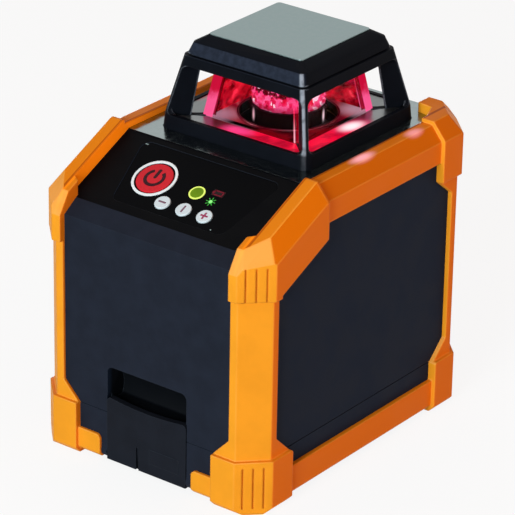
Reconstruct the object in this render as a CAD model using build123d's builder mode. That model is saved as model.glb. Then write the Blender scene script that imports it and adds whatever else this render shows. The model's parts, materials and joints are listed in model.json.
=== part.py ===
from build123d import *
import os
from math import atan, cos, sin, sqrt

os.makedirs("parts", exist_ok=True)

# A rotary laser level. Millimetres; +X is to the right of someone facing the key panel, +Y to the
# back and +Z up, with the origin on the ground below the middle of the housing.

# Clearances
RUNNING = 0.05        # radial play of a turning or sliding fit
SEAT = 0.15           # play round a seated piece
KEY_PLAY = 0.3        # gap round a key or the battery door
SCREW_PLAY = 0.1      # radial play of a screw in its hole

# Housing, from the front wall back: steep band, key panel, bare deck, tower, bare deck
HALF_WIDTH = 58.6     # middle plane to the black side wall
BAND_DEPTH = 7.8      # steep band between front wall and key panel
BAND_RISE = 5.4
PANEL_RUN = 39.3      # key panel, seen from above
PANEL_SLOPE = 0.4626  # its rise per run
FORE_DECK = 10.4
AFT_DECK = 14.5
TRAY_Z = 3.5          # underside of the base tray
PARTING_Z = 25.0      # joint between base tray and body shell
WALL = 2.6
CORNER_BEVEL = 11.2   # width of the bevel on the upright corners
SHOULDER_BEVEL = 5.8  # width of the bevel along the deck
SEAM_DEPTH = 0.5      # groove along the joint of tray and shell

# Bumpers
BLOCK_PROUD = 3.2     # corner blocks stand out of the front and back walls
SIDE_PROUD = 3.9      # and out of the side walls
BLOCK_STEP = 1.8      # rails and posts lie lower than the corner blocks
REBATE = 1.2          # depth of the bed under the bumper
TOP_PROUD = 5.2       # corner blocks above the deck
BAR_RISE = 6.8        # sloped bars above the key panel, measured upright
BUMPER_CORNER = 12.0
BUMPER_SHOULDER = 6.5
BROW_DROP = 8.0
KNEE_SLOPE = 1.65
KNEE_RISE = 5.5       # knee's plane above the ridge
KNEE_BEVEL_RISE = 4.0
TAIL_BEVEL_DROP = 8.4  # small facets of the back corners below the blocks' top
FOOT_BEVEL = 3.0
BACK_BEVEL = 4.0
POST_DEPTH = 13.4     # post edge behind the front wall, seen from the side
BLOCK_DEPTH = 23.2    # corner block edge behind the front wall
POST_WIDTH = 12.7     # post edge in from the side wall, seen from the front
BLOCK_WIDTH = 21.0
RAIL_WIDTH = 9.2      # rail's inner edge in from the side wall, seen from above
SIDE_RAIL_Z = 16.1    # upper edge of the lower side rail
FRONT_RAIL_Z = 13.0   # upper edge of the lower front stub
FOOT_TOP_Z = 25.4
GUSSET_Z = 34.0
TOP_RAIL_DROP = 13.6  # lower edge of the top rail below the deck
TOP_BLOCK_DROP = 22.9
TOP_GUSSET_DROP = 30.7
KNUCKLE_DROP = 12.5   # lower edge of the front knuckle below the ridge
BAR_LOW_DROP = 11.0
BAR_END = 2.0         # bar's end in front of the panel's top edge
STUB_ROUND = 2.5
SIDE_FOOT_DROP = 0.8  # foot block lower on the side than on the front
KNUCKLE_BACK = 9.3    # knuckle's inner corner behind the front wall, seen from above
BAR_START = 11.2
BACK_START = 19.5     # back block's inner corners before the back wall
BACK_NOTCH = (4.0, 10.0)
BACK_EDGE = 9.0
FOOT_LAP = 3.0        # foot's inner edge past the post
GROOVES = 3
GROOVE_WIDTH = 0.7
GROOVE_DEPTH = 0.8
GROOVE_PITCH = 4.6
GROOVE_END = 2.9

# Deck plate
PLATE_T = 0.6

# Key panel: across, up the slope, radius
OVERLAY_LOW = 5.0
OVERLAY_MARGIN = 2.8  # film's top edge below the deck's edge
OVERLAY_LOW_HALF = 30.0
OVERLAY_HIGH_HALF = 38.0
OVERLAY_ROUND = 4.0
OVERLAY_DEEP = 0.6
OVERLAY_T = 0.5
POWER_KEY = (-18.7, 22.4, 8.5)
MINUS_KEY = (-6.5, 11.6, 3.65)
MODE_KEY = (5.0, 11.6, 3.65)
PLUS_KEY = (16.3, 11.6, 3.65)
STATUS_LENS = (4.5, 22.3, 3.75)
BATTERY_LENS = (14.0, 25.4)
BATTERY_LENS_SIZE = (6.0, 3.4)
LED_LENS = (13.5, 20.05, 1.0)
RING_INNER = 0.8      # white ring outside the power key
RING_OUTER = 2.0
KEY_PROUD = 0.5
KEY_FLANGE = 1.0      # flange wider than the key
FLANGE_T = 0.8
FLANGE_GAP = 0.2      # flange below the wall at rest
KEY_TRAVEL = 0.6
SWITCH_GAP = 0.1
SWITCH_H = 2.6
SWITCH_SIDE = 6.0
BOARD_T = 1.6
BOARD_SIZE = (68.0, 36.0)
BOARD_MIDDLE = 22.0
BOARD_SCREW_IN = (4.0, 3.5)
BOARD_SCREW_L = 3.0
BOARD_ROUND = 2.0
SCREW_R = 1.0
SMALL_HEAD_T = 1.2
LAMP_H = 1.0
LAMP_SIZE = (2.4, 1.6)
KEY_ROUND = 0.4

# Tower: half sides of its squares, heights above the deck
TOWER_FOOT_HALF = 40.5
TOWER_DRAFT = 0.5     # rim in from the foot
TOWER_RIM_H = 6.9     # rim of the windows
TOWER_RAKE = 6.4      # top in from the rim
TOWER_TOP_H = 34.1
TOWER_ROUND = 5.0
TOWER_TOP_ROUND = 3.6
NECK_STEP = 2.0       # groove under the cap
NECK_H = 0.7
CAP_STEP = 0.3        # cap in from the tower's top
CAP_RAKE = 2.9
CAP_SIDE_H = 3.8
CAP_SLOPE = 4.8
CAP_SLOPE_H = 4.2
CAP_MID_ROUND = 3.0
CAP_TOP_ROUND = 1.6
CAP_WALL = 3.0
ROOF_EDGE = 0.4
ROOF_T = 0.6
BLADE_T = 2.8         # pillars are upright blades on the diagonals
BLADE_LOW = 8.5       # their width at the rim and at the top
BLADE_TOP = 6.2
SILL_RIM = 2.3        # sill's outer edge in from the rim
SILL_DROP = 0.5       # and below it
SILL_IN_H = 5.3
SILL_T = 0.8
WINDOW_HEAD = 4.4     # window's top below the tower's
WINDOW_ROUND = 3.0
PANE_LOW_HALF = 26.7
PANE_RAKE = 4.2
PANE_HEAD = 3.7
PANE_T = 3.0
GASKET_LAP = 1.0
FLOOR_STEP = 0.4      # frame's inner floor above the sill's foot
HOLE_LIP = 0.1
VOID_ROUND = 2.0
VOID_OVER = 3.3       # void's top square above the neck
WELL_R = 22.6
WELL_RING_T = 1.0
WELL_RING_H = 5.0
WELL_RING_PROUD = 0.4
DECK_HOLE_PLAY = 1.4  # hole in the deck round the well
TOWER_SCREW_IN = 7.0
TOWER_SCREW_R = 1.5
TOWER_SCREW_UP = 4.4

# Rotor and laser carriage, heights measured from the gimbal's pivot
PIVOT_DEPTH = 40.6    # pivot below the deck
TUBE_R = 13.0
TUBE_LOW = -44.0
TUBE_HIGH = 25.0
TUBE_BORE_R = 8.0
BEARING_R = 9.5
BEARING_W = 5.0
BEARING_LOW = 8.0
SHAFT_R = 5.0
SHAFT_END = 1.0
BEAM_R = 2.5
PULLEY_R = 10.5
PULLEY_RIM_R = 12.6
PULLEY_LOW = 26.0
PULLEY_HIGH = 33.0
BELT_LOW = 28.0
BELT_HIGH = 31.0
BELT_T = 1.4
BELT_PLAY = 0.08
MOTOR_PULLEY_R = 4.5
MOTOR_RIM_R = 6.4
MOTOR_GAP = 1.0       # spin motor beside the tube
MOTOR_R = 8.0
MOTOR_H = 12.0
MOTOR_SHAFT_R = 1.0
FLANGE_DEPTH = 3.0
NECK_R = 8.0
HEAD_BASE_H = 3.4     # turntable above the deck
HEAD_DISC_T = 7.0
HEAD_DISC_R = 16.8
DRUM_R = 15.4
DRUM_TOP_R = 13.4
DRUM_H = 12.4
DRUM_EDGE = 4.0       # sloped edge round its top
DRUM_BORE_R = 11.0
DRUM_SIDES = 14
PRISM_FACE = 8.4
PRISM_WIDTH = 9.0
MODULE_LOW = -50.0
MODULE_FLANGE = 2.0
MODULE_GAP = 5.0      # room below the module to tilt
APERTURE_R = 2.0
APERTURE_DEEP = 6.0
MODULE_HIGH = -18.0
LENS_LOW = -4.0
LENS_T = 3.5
LENS_CURVE = 18.0
SENSOR_SIZE = (18.0, 6.0, 7.0)
SENSOR_DROP = 24.0

# Gimbal and its levers
RING_GAP = 4.0        # room round the tube
RING_T = 5.0
BOSS_PROUD = 2.0      # pin boss out of the ring
RING_H = 10.0
PIN_R = 2.5
PIN_SHY = 0.4         # pins end short of the tube's bore
DRIVE_GAP = 2.0       # roll drive's bracket to the side wall
ROLL_RISE = 12.0      # roll lever above the pivot
BALL_R = 2.0
ARM_SIDE = 4.0
SCREW_OFFSET = 10.0   # lead screw outside the ball
LEAD_R = 2.0
ROD_R = 1.5
ROD_OFFSET = 9.0      # guide rod beside the lead screw
JAW_PLAY = 0.15
JAW_T = 2.85
JAW_LIP = 2.8         # jaw past the ball's middle
JAW_W = 8.0
NECK_GAP = 4.4        # lever's thin neck before the ball
BALL_NECK_R = 1.2
NUT_SIZE = (11.0, 20.0)
NUT_SHIFT = 0.5
BRACKET_T = 2.5
BRACKET_GAP = 1.5     # bracket's wall beside the motor
BRACKET_W = 20.0
BRACKET_LIP = 4.0     # shelf and lug past the lead screw
LUG_T = 4.0
LEVEL_MOTOR_R = 6.0
LEVEL_MOTOR_H = 25.0
SHELF_T = 3.0
LUG_RISE = 10.0       # top bearing of the lead screw above the ball

# Chassis
WIRE_ROOM = 9.2       # chassis above the battery bay
CHASSIS_T = 3.0
CHASSIS_HALF = 40.0
CHASSIS_ROUND = 5.0
CHASSIS_MARGIN = 3.5  # chassis past the pitch drive
BACK_ROOM = 12.5      # chassis to the back wall's outside
PAD_W = 24.0
YOKE_GAP = 2.5
YOKE_T = 5.0
YOKE_HALF = 9.0
YOKE_ABOVE = 7.0
PIN_PROUD = 1.0
COLUMN_R = 4.5
COLUMN_IN = (7.0, 6.0)
CHASSIS_SCREW_R = 1.5
CHASSIS_SCREW_L = 10.0
FLANGE_H = 16.0
FLANGE_WALL = 2.0
FLANGE_IN = 10.0
MAIN_BOARD_W = 72.0
MAIN_BOARD_H = 56.0
MAIN_BOARD_LIFT = 2.0
MAIN_SCREW_IN = 14.0
CHIP_T = 2.0
CHIPS = [(-14.0, 34.0, 14.0, 14.0), (14.0, 38.0, 9.0, 9.0), (18.0, 20.0, 16.0, 6.0)]

# Battery and door
CELL_R = 9.2
PACK_WALL = 1.2
PACK_LENGTH = 69.0
PACK_GAP = 3.2        # battery behind the door
BAY_WALL = 1.6
BAY_FLOOR_Z = 6.1
CONTACT_ROOM = 1.2
CONTACT_T = 0.4
CONTACT_BOW = 0.7
CONTACT_HALF = 6.0
CONTACT_FLAT = 2.0
CONTACT_W = 6.0
DOOR_LAP = 1.65       # door past the bay's inside
DOOR_OVER = 4.2       # door above the bay
DOOR_LOW_Z = 2.2
DOOR_DISH = 1.7
DOOR_ROUND = 2.0
DOOR_PROUD = 0.4
DOOR_T = 3.0
DOOR_SLOT = (1.5, 11.0)
DOOR_SLOT_X = -5.0
DOOR_SLOT_DEEP = 1.0
DOOR_PAD = (16.0, 7.0)
DOOR_PAD_AT = (10.0, 9.0)
DOOR_PAD_T = 0.3
HINGE_IN = 2.6        # hinge axis behind the front wall
HINGE_Z = 5.4
HINGE_PIN_R = 1.2
HINGE_ROOM = 4.0
BARREL_R = 2.4
LUG_R = 3.2
LUG_W = 2.9
RECESS_LIP = 2.5      # door's top above the finger recess' floor
RECESS_H = 17.0
RECESS_DEEP = 10.0
RECESS_MID = (0.2, 10.5)   # where its curved back passes, from the floor's back edge
RECESS_ROUND = 3.0
PAN_T = 1.6

# Mount and base screws
INSERT_R = 11.0
INSERT_L = 15.0
THREAD_R = 7.94       # five eighths of an inch across
THREAD_L = 14.0
BOSS_T = 3.0
BASE_SCREW_IN = (6.3, 15.5)
BASE_SCREW_R = 1.6
BASE_SCREW_L = 30.0
COLUMN_OVER = 10.0    # shell's screw columns above the screws' seats
BASE_HEAD_R = 3.0
HEAD_T = 2.0

# Sizes that follow: heights, from the battery up
PACK_HALF = 2 * CELL_R + PACK_WALL + PACK_WALL / 2
PACK_H = 2 * CELL_R + 2 * PACK_WALL
BAY_HALF = PACK_HALF + SEAT
BAY_TOP_Z = BAY_FLOOR_Z + PACK_H + 2 * SEAT + BAY_WALL
CHASSIS_Z = BAY_TOP_Z + WIRE_ROOM
CHASSIS_TOP = CHASSIS_Z + CHASSIS_T
PIVOT_Z = CHASSIS_TOP + MODULE_GAP - MODULE_LOW
DECK_Z = PIVOT_Z + PIVOT_DEPTH
HEAD_Z = DECK_Z + HEAD_BASE_H
DRUM_Z = HEAD_Z + HEAD_DISC_T
PANEL_Z = DECK_Z - PANEL_RUN * PANEL_SLOPE
RIDGE_Z = PANEL_Z - BAND_RISE
BLOCK_TOP_Z = DECK_Z + TOP_PROUD
KNEE_BEVEL_Z = RIDGE_Z + KNEE_BEVEL_RISE
DOOR_TOP_Z = BAY_TOP_Z + DOOR_OVER
RECESS_FLOOR_Z = DOOR_TOP_Z - RECESS_LIP
RECESS_TOP_Z = RECESS_FLOOR_Z + RECESS_H
CLEAR = 2 * DECK_Z    # reach of a cut that goes right through

# depths, from the front wall back
HALF_DEPTH = (BAND_DEPTH + PANEL_RUN + FORE_DECK + 2 * TOWER_FOOT_HALF + AFT_DECK) / 2
TOWER_Y = HALF_DEPTH - AFT_DECK - TOWER_FOOT_HALF
ANGLE = atan(PANEL_SLOPE)
PANEL_Y = BAND_DEPTH - HALF_DEPTH
PANEL_END_Y = PANEL_Y + PANEL_RUN
OVERLAY_HIGH = PANEL_RUN / cos(ANGLE) - OVERLAY_MARGIN
HINGE_Y = HINGE_IN - HALF_DEPTH
DOOR_BACK_Y = DOOR_T - DOOR_PROUD - HALF_DEPTH
BAY_FRONT_Y = DOOR_BACK_Y + KEY_PLAY
PACK_FRONT_Y = BAY_FRONT_Y + PACK_GAP
BAY_BACK_Y = PACK_FRONT_Y + PACK_LENGTH + CONTACT_ROOM
RECESS_Y = RECESS_DEEP - HALF_DEPTH

# bumpers
BLOCK_HALF_W = HALF_WIDTH + SIDE_PROUD
BLOCK_HALF_D = HALF_DEPTH + BLOCK_PROUD
BAR_Z = PANEL_Z + BAR_RISE - PANEL_Y * PANEL_SLOPE
KNEE_Z = RIDGE_Z + KNEE_RISE + HALF_DEPTH * KNEE_SLOPE
KNEE_Y = (BAR_Z - KNEE_Z) / (KNEE_SLOPE - PANEL_SLOPE)
BAR_TOP_Y = (BLOCK_TOP_Z - BAR_Z) / PANEL_SLOPE
BAR_END_Y = PANEL_END_Y - BAR_END
POST_Y = HALF_DEPTH - POST_DEPTH
BLOCK_Y = HALF_DEPTH - BLOCK_DEPTH
POST_X = HALF_WIDTH - POST_WIDTH
BLOCK_X = HALF_WIDTH - BLOCK_WIDTH
RAIL_X = HALF_WIDTH - RAIL_WIDTH
DOOR_HALF = BAY_HALF + DOOR_LAP
DOOR_CUT = DOOR_HALF + KEY_PLAY
STUB_X = DOOR_CUT + LUG_W + KEY_PLAY
CORNER_MID = (BLOCK_HALF_W - BUMPER_CORNER / 2, BLOCK_HALF_D - BUMPER_CORNER / 2)

# tower
TOWER_RIM_HALF = TOWER_FOOT_HALF - TOWER_DRAFT
TOWER_TOP_HALF = TOWER_RIM_HALF - TOWER_RAKE
TOWER_NECK_HALF = TOWER_TOP_HALF - NECK_STEP
TOWER_NECK_H = TOWER_TOP_H + NECK_H
CAP_HALF = TOWER_TOP_HALF - CAP_STEP
CAP_MID_HALF = CAP_HALF - CAP_RAKE
CAP_MID_H = TOWER_NECK_H + CAP_SIDE_H
CAP_TOP_HALF = CAP_MID_HALF - CAP_SLOPE
CAP_TOP_H = CAP_MID_H + CAP_SLOPE_H
ROOF_HALF = CAP_TOP_HALF - ROOF_EDGE
PANE_TOP_HALF = PANE_LOW_HALF - PANE_RAKE
PANE_TOP_H = TOWER_TOP_H - PANE_HEAD
WINDOW_TOP_H = TOWER_TOP_H - WINDOW_HEAD
SILL_IN_HALF = PANE_LOW_HALF + 2 * SEAT
SILL_OUT_HALF = TOWER_RIM_HALF - SILL_RIM
SILL_OUT_H = TOWER_RIM_H - SILL_DROP
SILL_SLOPE = (SILL_OUT_H - SILL_IN_H) / (SILL_OUT_HALF - SILL_IN_HALF)
SILL_EASE = SEAT * SILL_SLOPE
TOWER_HOLE_HALF = SILL_IN_HALF - HOLE_LIP
VOID_LOW_HALF = TOWER_RIM_HALF - BLADE_LOW
VOID_LOW_H = SILL_IN_H + FLOOR_STEP
VOID_TOP_HALF = TOWER_TOP_HALF - BLADE_TOP
TOWER_SCREW = TOWER_FOOT_HALF - TOWER_SCREW_IN
DECK_HOLE_R = WELL_R + DECK_HOLE_PLAY

# keys, carriage, levelling drives and chassis
SWITCH_N = -(WALL + FLANGE_GAP + FLANGE_T + KEY_TRAVEL + SWITCH_GAP)
BOARD_N = SWITCH_N - SWITCH_H
BOARD_SCREW = (BOARD_SIZE[0] / 2 - BOARD_SCREW_IN[0], BOARD_SIZE[1] / 2 - BOARD_SCREW_IN[1])
MODULE_R = TUBE_BORE_R - 2 * RUNNING
MOTOR_OFFSET = TUBE_R + MOTOR_GAP + MOTOR_R
RING_IN_R = TUBE_R + RING_GAP
RING_OUT_R = RING_IN_R + RING_T
YOKE_IN = RING_OUT_R + YOKE_GAP
BRACKET_IN = SCREW_OFFSET + LEVEL_MOTOR_R + BRACKET_GAP
DRIVE_REACH = BRACKET_IN + BRACKET_T
LEVER = HALF_WIDTH - WALL - DRIVE_GAP - DRIVE_REACH
PAD_X = LEVER + DRIVE_REACH
CHASSIS_FRONT = TOWER_Y - PAD_X - CHASSIS_MARGIN
CHASSIS_BACK = HALF_DEPTH - BACK_ROOM
CHASSIS_MID_Y = (CHASSIS_FRONT + CHASSIS_BACK) / 2
COLUMN_AT = (CHASSIS_HALF - COLUMN_IN[0], CHASSIS_BACK - CHASSIS_MID_Y - COLUMN_IN[1])
BASE_SCREW_AT = (HALF_WIDTH - BASE_SCREW_IN[0], HALF_DEPTH - BASE_SCREW_IN[1])


def both_sides(origin, normal):
    """The plane of a bevel on the right side, and its twin on the left."""
    x, y, z = origin
    a, b, c = normal
    return [Plane(origin=(x, y, z), z_dir=(a, b, c)), Plane(origin=(-x, y, z), z_dir=(-a, b, c))]


def faceted_block(outline, half_width, bevels, skin):
    """A side outline (y, z) spread across X, grown all round by the skin, with its edges bevelled."""
    with BuildPart() as block:
        with BuildSketch(Plane.YZ):
            with BuildLine():
                Polyline(*outline, close=True)
            make_face()
            if skin:
                offset(amount=skin, kind=Kind.INTERSECTION)
        extrude(amount=half_width + skin, both=True)
        for bevel in bevels:
            split(bisect_by=bevel.offset(skin), keep=Keep.BOTTOM)
    return block.part


def knee_bevels():
    """The small facets between an upright front corner and a sloped bar."""
    return both_sides((CORNER_MID[0], -CORNER_MID[1], KNEE_BEVEL_Z), (1, -1.3, 1.25))


def housing_block(skin):
    """The whole housing's form, grown by the skin."""
    outline = [
        (-HALF_DEPTH, TRAY_Z),
        (-HALF_DEPTH, RIDGE_Z),
        (PANEL_Y, PANEL_Z),
        (PANEL_END_Y, DECK_Z),
        (HALF_DEPTH, DECK_Z),
        (HALF_DEPTH, TRAY_Z),
    ]
    corner = HALF_WIDTH - CORNER_BEVEL
    bevels = both_sides((corner, -HALF_DEPTH, 0), (1, -1, 0))
    bevels += both_sides((corner, HALF_DEPTH, 0), (1, 1, 0))
    bevels += both_sides((HALF_WIDTH - SHOULDER_BEVEL, 0, DECK_Z), (1, 0, 1))
    bevels += [bevel.offset(-BLOCK_PROUD) for bevel in knee_bevels()]
    return faceted_block(outline, HALF_WIDTH, bevels, skin)


def bumper_block(skin):
    """The form that the bumpers' corner blocks lie in; their rails lie one step below it."""
    outline = [
        (-BLOCK_HALF_D + FOOT_BEVEL, 0),
        (-BLOCK_HALF_D, FOOT_BEVEL),
        (-BLOCK_HALF_D, KNEE_Z - BLOCK_HALF_D * KNEE_SLOPE),
        (KNEE_Y, BAR_Z + KNEE_Y * PANEL_SLOPE),
        (BAR_TOP_Y, BLOCK_TOP_Z),
        (BLOCK_HALF_D - BACK_BEVEL, BLOCK_TOP_Z),
        (BLOCK_HALF_D, BLOCK_TOP_Z - BACK_BEVEL),
        (BLOCK_HALF_D, FOOT_BEVEL),
        (BLOCK_HALF_D - FOOT_BEVEL, 0),
    ]
    corner = BLOCK_HALF_W - BUMPER_CORNER
    shoulder = BLOCK_HALF_W - BUMPER_SHOULDER
    brow_normal = (BROW_DROP, -BUMPER_SHOULDER * PANEL_SLOPE, BUMPER_SHOULDER)
    bevels = both_sides((corner, -BLOCK_HALF_D, 0), (1, -1, 0))
    bevels += both_sides((corner, BLOCK_HALF_D, 0), (1, 1, 0))
    bevels += both_sides((shoulder, 0, BLOCK_TOP_Z), (BROW_DROP, 0, BUMPER_SHOULDER))
    bevels += both_sides((shoulder, 0, BAR_Z), brow_normal)
    bevels += knee_bevels()
    bevels += both_sides((*CORNER_MID, BLOCK_TOP_Z - TAIL_BEVEL_DROP), (1, 1, 1.14))
    bevels += both_sides((BLOCK_HALF_W - FOOT_BEVEL, 0, 0), (1, 0, -1))
    return faceted_block(outline, BLOCK_HALF_W, bevels, skin)


def panel_plane(rise):
    """The key panel's plane, lifted by the rise: X across, Y up the slope."""
    slope_normal = (0, -sin(ANGLE), cos(ANGLE))
    return Plane(origin=(0, PANEL_Y, PANEL_Z), x_dir=(1, 0, 0), z_dir=slope_normal).offset(rise)


def tower_plane(height):
    """A level plane on the tower's axis, at a height above the deck."""
    return Plane((0, TOWER_Y, DECK_Z + height))


def pivot_plane(height):
    """A level plane on the rotor's axis, at a height above the gimbal's pivot."""
    return Plane((0, TOWER_Y, PIVOT_Z + height))


def square_stack(levels):
    """Rounded squares (half side, corner radius, height above the deck) joined by flat sides."""
    with BuildPart() as stack:
        for low, high in zip(levels, levels[1:]):
            for half, corner, height in (low, high):
                with BuildSketch(tower_plane(height)):
                    RectangleRounded(2 * half, 2 * half, corner)
            loft(ruled=True)
    return stack.part


def front_wedge(gap):
    """The quarter of the tower in front of its axis, less half a gap along both diagonals."""
    reach = 2 * TOWER_FOOT_HALF
    start = gap / sqrt(2)
    with BuildPart() as wedge:
        with BuildSketch(tower_plane(0)):
            with BuildLine():
                Polyline((0, -start), (reach - start, -reach), (start - reach, -reach), close=True)
            make_face()
        extrude(amount=2 * CAP_TOP_H, both=True)
    return wedge.part


def turned(profile):
    """A turned piece on the rotor's axis from (radius, height above the pivot) points."""
    section = Plane(origin=(0, TOWER_Y, PIVOT_Z), x_dir=(1, 0, 0), z_dir=(0, -1, 0))
    with BuildPart() as piece:
        with BuildSketch(section):
            with BuildLine():
                Polyline(*profile, close=True)
            make_face()
        revolve(axis=Axis((0, TOWER_Y, 0), (0, 0, 1)))
    return piece.part


def four_ways(across, along):
    """The four points of a pattern that is the same in all quarters."""
    return [(across, along), (-across, along), (across, -along), (-across, -along)]


HOUSING = housing_block(0)
CAVITY = housing_block(-WALL)
BUMPER_BED = housing_block(-REBATE)
BLOCK_FORM = bumper_block(0)
RAIL_FORM = bumper_block(-BLOCK_STEP)

# Bumpers: a rail ring on each side with four corner blocks

SIDE_OPENING = [
    (-POST_Y, GUSSET_Z),
    (-BLOCK_Y, FOOT_TOP_Z - SIDE_FOOT_DROP),
    (-BLOCK_Y, SIDE_RAIL_Z),
    (BLOCK_Y, SIDE_RAIL_Z),
    (BLOCK_Y, FOOT_TOP_Z - SIDE_FOOT_DROP),
    (POST_Y, GUSSET_Z),
    (POST_Y, DECK_Z - TOP_GUSSET_DROP),
    (BLOCK_Y, DECK_Z - TOP_BLOCK_DROP),
    (BLOCK_Y, DECK_Z - TOP_RAIL_DROP),
    (BAR_END_Y, DECK_Z - TOP_RAIL_DROP),
    (BAR_END_Y, RIDGE_Z - BAR_LOW_DROP + (BAR_END_Y + POST_Y) * PANEL_SLOPE),
    (-POST_Y, RIDGE_Z - BAR_LOW_DROP),
]
FOOT_SIDE = [
    (0, -CLEAR),
    (STUB_X, -CLEAR),
    (STUB_X, FRONT_RAIL_Z),
    (BLOCK_X, FRONT_RAIL_Z),
    (BLOCK_X, FOOT_TOP_Z),
    (POST_X, GUSSET_Z),
]
FRONT_OPENING = FOOT_SIDE + [(POST_X, CLEAR), (0, CLEAR)]
BACK_OPENING = FOOT_SIDE + [
    (POST_X, DECK_Z - TOP_GUSSET_DROP),
    (BLOCK_X, DECK_Z - TOP_BLOCK_DROP),
    (BLOCK_X, CLEAR),
    (0, CLEAR),
]
BACK_CORNERS = [
    (RAIL_X, HALF_DEPTH - BACK_START),
    (RAIL_X - BACK_NOTCH[0], HALF_DEPTH - BACK_NOTCH[1]),
    (BLOCK_X, HALF_DEPTH - BACK_EDGE),
]
TOP_OPENING = [
    (0, -CLEAR),
    (POST_X, -CLEAR),
    (POST_X, KNUCKLE_BACK - HALF_DEPTH),
    (RAIL_X, BAR_START - HALF_DEPTH),
    *BACK_CORNERS,
    (BLOCK_X, CLEAR),
    (0, CLEAR),
]
BOTTOM_OPENING = [
    (0, -POST_Y - FOOT_LAP),
    (BLOCK_X, -POST_Y - FOOT_LAP),
    (RAIL_X, -BLOCK_Y),
    (RAIL_X, BLOCK_Y),
    (BLOCK_X, POST_Y + FOOT_LAP),
    (0, POST_Y + FOOT_LAP),
]
CORNER_BLOCKS = [
    ((-CLEAR, -BLOCK_Y), (-CLEAR, FOOT_TOP_Z)),
    ((BLOCK_Y, CLEAR), (-CLEAR, FOOT_TOP_Z)),
    ((BLOCK_Y, CLEAR), (DECK_Z - TOP_BLOCK_DROP, CLEAR)),
    ((-CLEAR, BAR_END_Y), (RIDGE_Z - KNUCKLE_DROP, CLEAR)),
]
GROOVED = [
    (-1, FOOT_BEVEL, FOOT_TOP_Z - GROOVE_END),
    (1, FOOT_BEVEL, FOOT_TOP_Z - GROOVE_END),
    (-1, RIDGE_Z - KNUCKLE_DROP, KNEE_BEVEL_Z - GROOVE_DEPTH),
]


def corner_block(depths, heights):
    """One corner block of the right bumper."""
    (front, back), (low, high) = depths, heights
    with BuildPart() as block:
        add(BLOCK_FORM)
        with Locations((BLOCK_X + CLEAR / 2, (front + back) / 2, (low + high) / 2)):
            Box(CLEAR, back - front, high - low, mode=Mode.INTERSECT)
    return block.part


with BuildPart() as right_bumper:
    add(RAIL_FORM)
    for depths, heights in CORNER_BLOCKS:
        add(corner_block(depths, heights))
    split(bisect_by=Plane.YZ, keep=Keep.TOP)
    add(BUMPER_BED, mode=Mode.SUBTRACT)
    with BuildSketch(Plane.YZ.offset(HALF_WIDTH - CORNER_BEVEL)):
        with BuildLine():
            Polyline(*SIDE_OPENING, close=True)
        make_face()
    extrude(amount=CLEAR, mode=Mode.SUBTRACT)
    for plane, opening, way in ((Plane.XZ.offset(POST_Y), FRONT_OPENING, 1),
                                (Plane.XZ.offset(-POST_Y), BACK_OPENING, -1)):
        with BuildSketch(plane):
            with BuildLine():
                Polyline(*opening, close=True)
            make_face()
            fillet(vertices().sort_by_distance((STUB_X, FRONT_RAIL_Z, 0))[:1], radius=STUB_ROUND)
        extrude(amount=way * CLEAR, mode=Mode.SUBTRACT)
    with BuildSketch(Plane.XY.offset(RIDGE_Z - KNUCKLE_DROP)):
        with BuildLine():
            Polyline(*TOP_OPENING, close=True)
        make_face()
    extrude(amount=CLEAR, mode=Mode.SUBTRACT)
    with BuildSketch(Plane.XY.offset(BAY_FLOOR_Z)):
        with BuildLine():
            Polyline(*BOTTOM_OPENING, close=True)
        make_face()
    extrude(amount=-CLEAR, mode=Mode.SUBTRACT)
    for side, low, high in GROOVED:
        middle = (CORNER_MID[0], side * CORNER_MID[1], (low + high) / 2)
        with Locations(Plane(origin=middle, x_dir=(1, -side, 0), z_dir=(1, side, 0))):
            with GridLocations(GROOVE_PITCH, 0, GROOVES, 1):
                Box(GROOVE_WIDTH, high - low, 2 * GROOVE_DEPTH, mode=Mode.SUBTRACT)
right_bumper.part.label = "right_bumper"
export_step(right_bumper.part, "parts/right_bumper.step")

with BuildPart() as left_bumper:
    add(mirror(right_bumper.part, about=Plane.YZ))
left_bumper.part.label = "left_bumper"
export_step(left_bumper.part, "parts/left_bumper.step")

# Base tray: floor and lower walls, battery bay, tripod boss, chassis columns and door hinge lugs

with BuildPart() as seam:
    add(housing_block(1))
    add(housing_block(-SEAM_DEPTH), mode=Mode.SUBTRACT)
    with Locations((0, 0, PARTING_Z)):
        Box(CLEAR, CLEAR, SEAM_DEPTH, mode=Mode.INTERSECT)

CHASSIS_COLUMNS = [(x, CHASSIS_MID_Y + y) for x, y in four_ways(*COLUMN_AT)]
BASE_COLUMNS = four_ways(*BASE_SCREW_AT)

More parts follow.
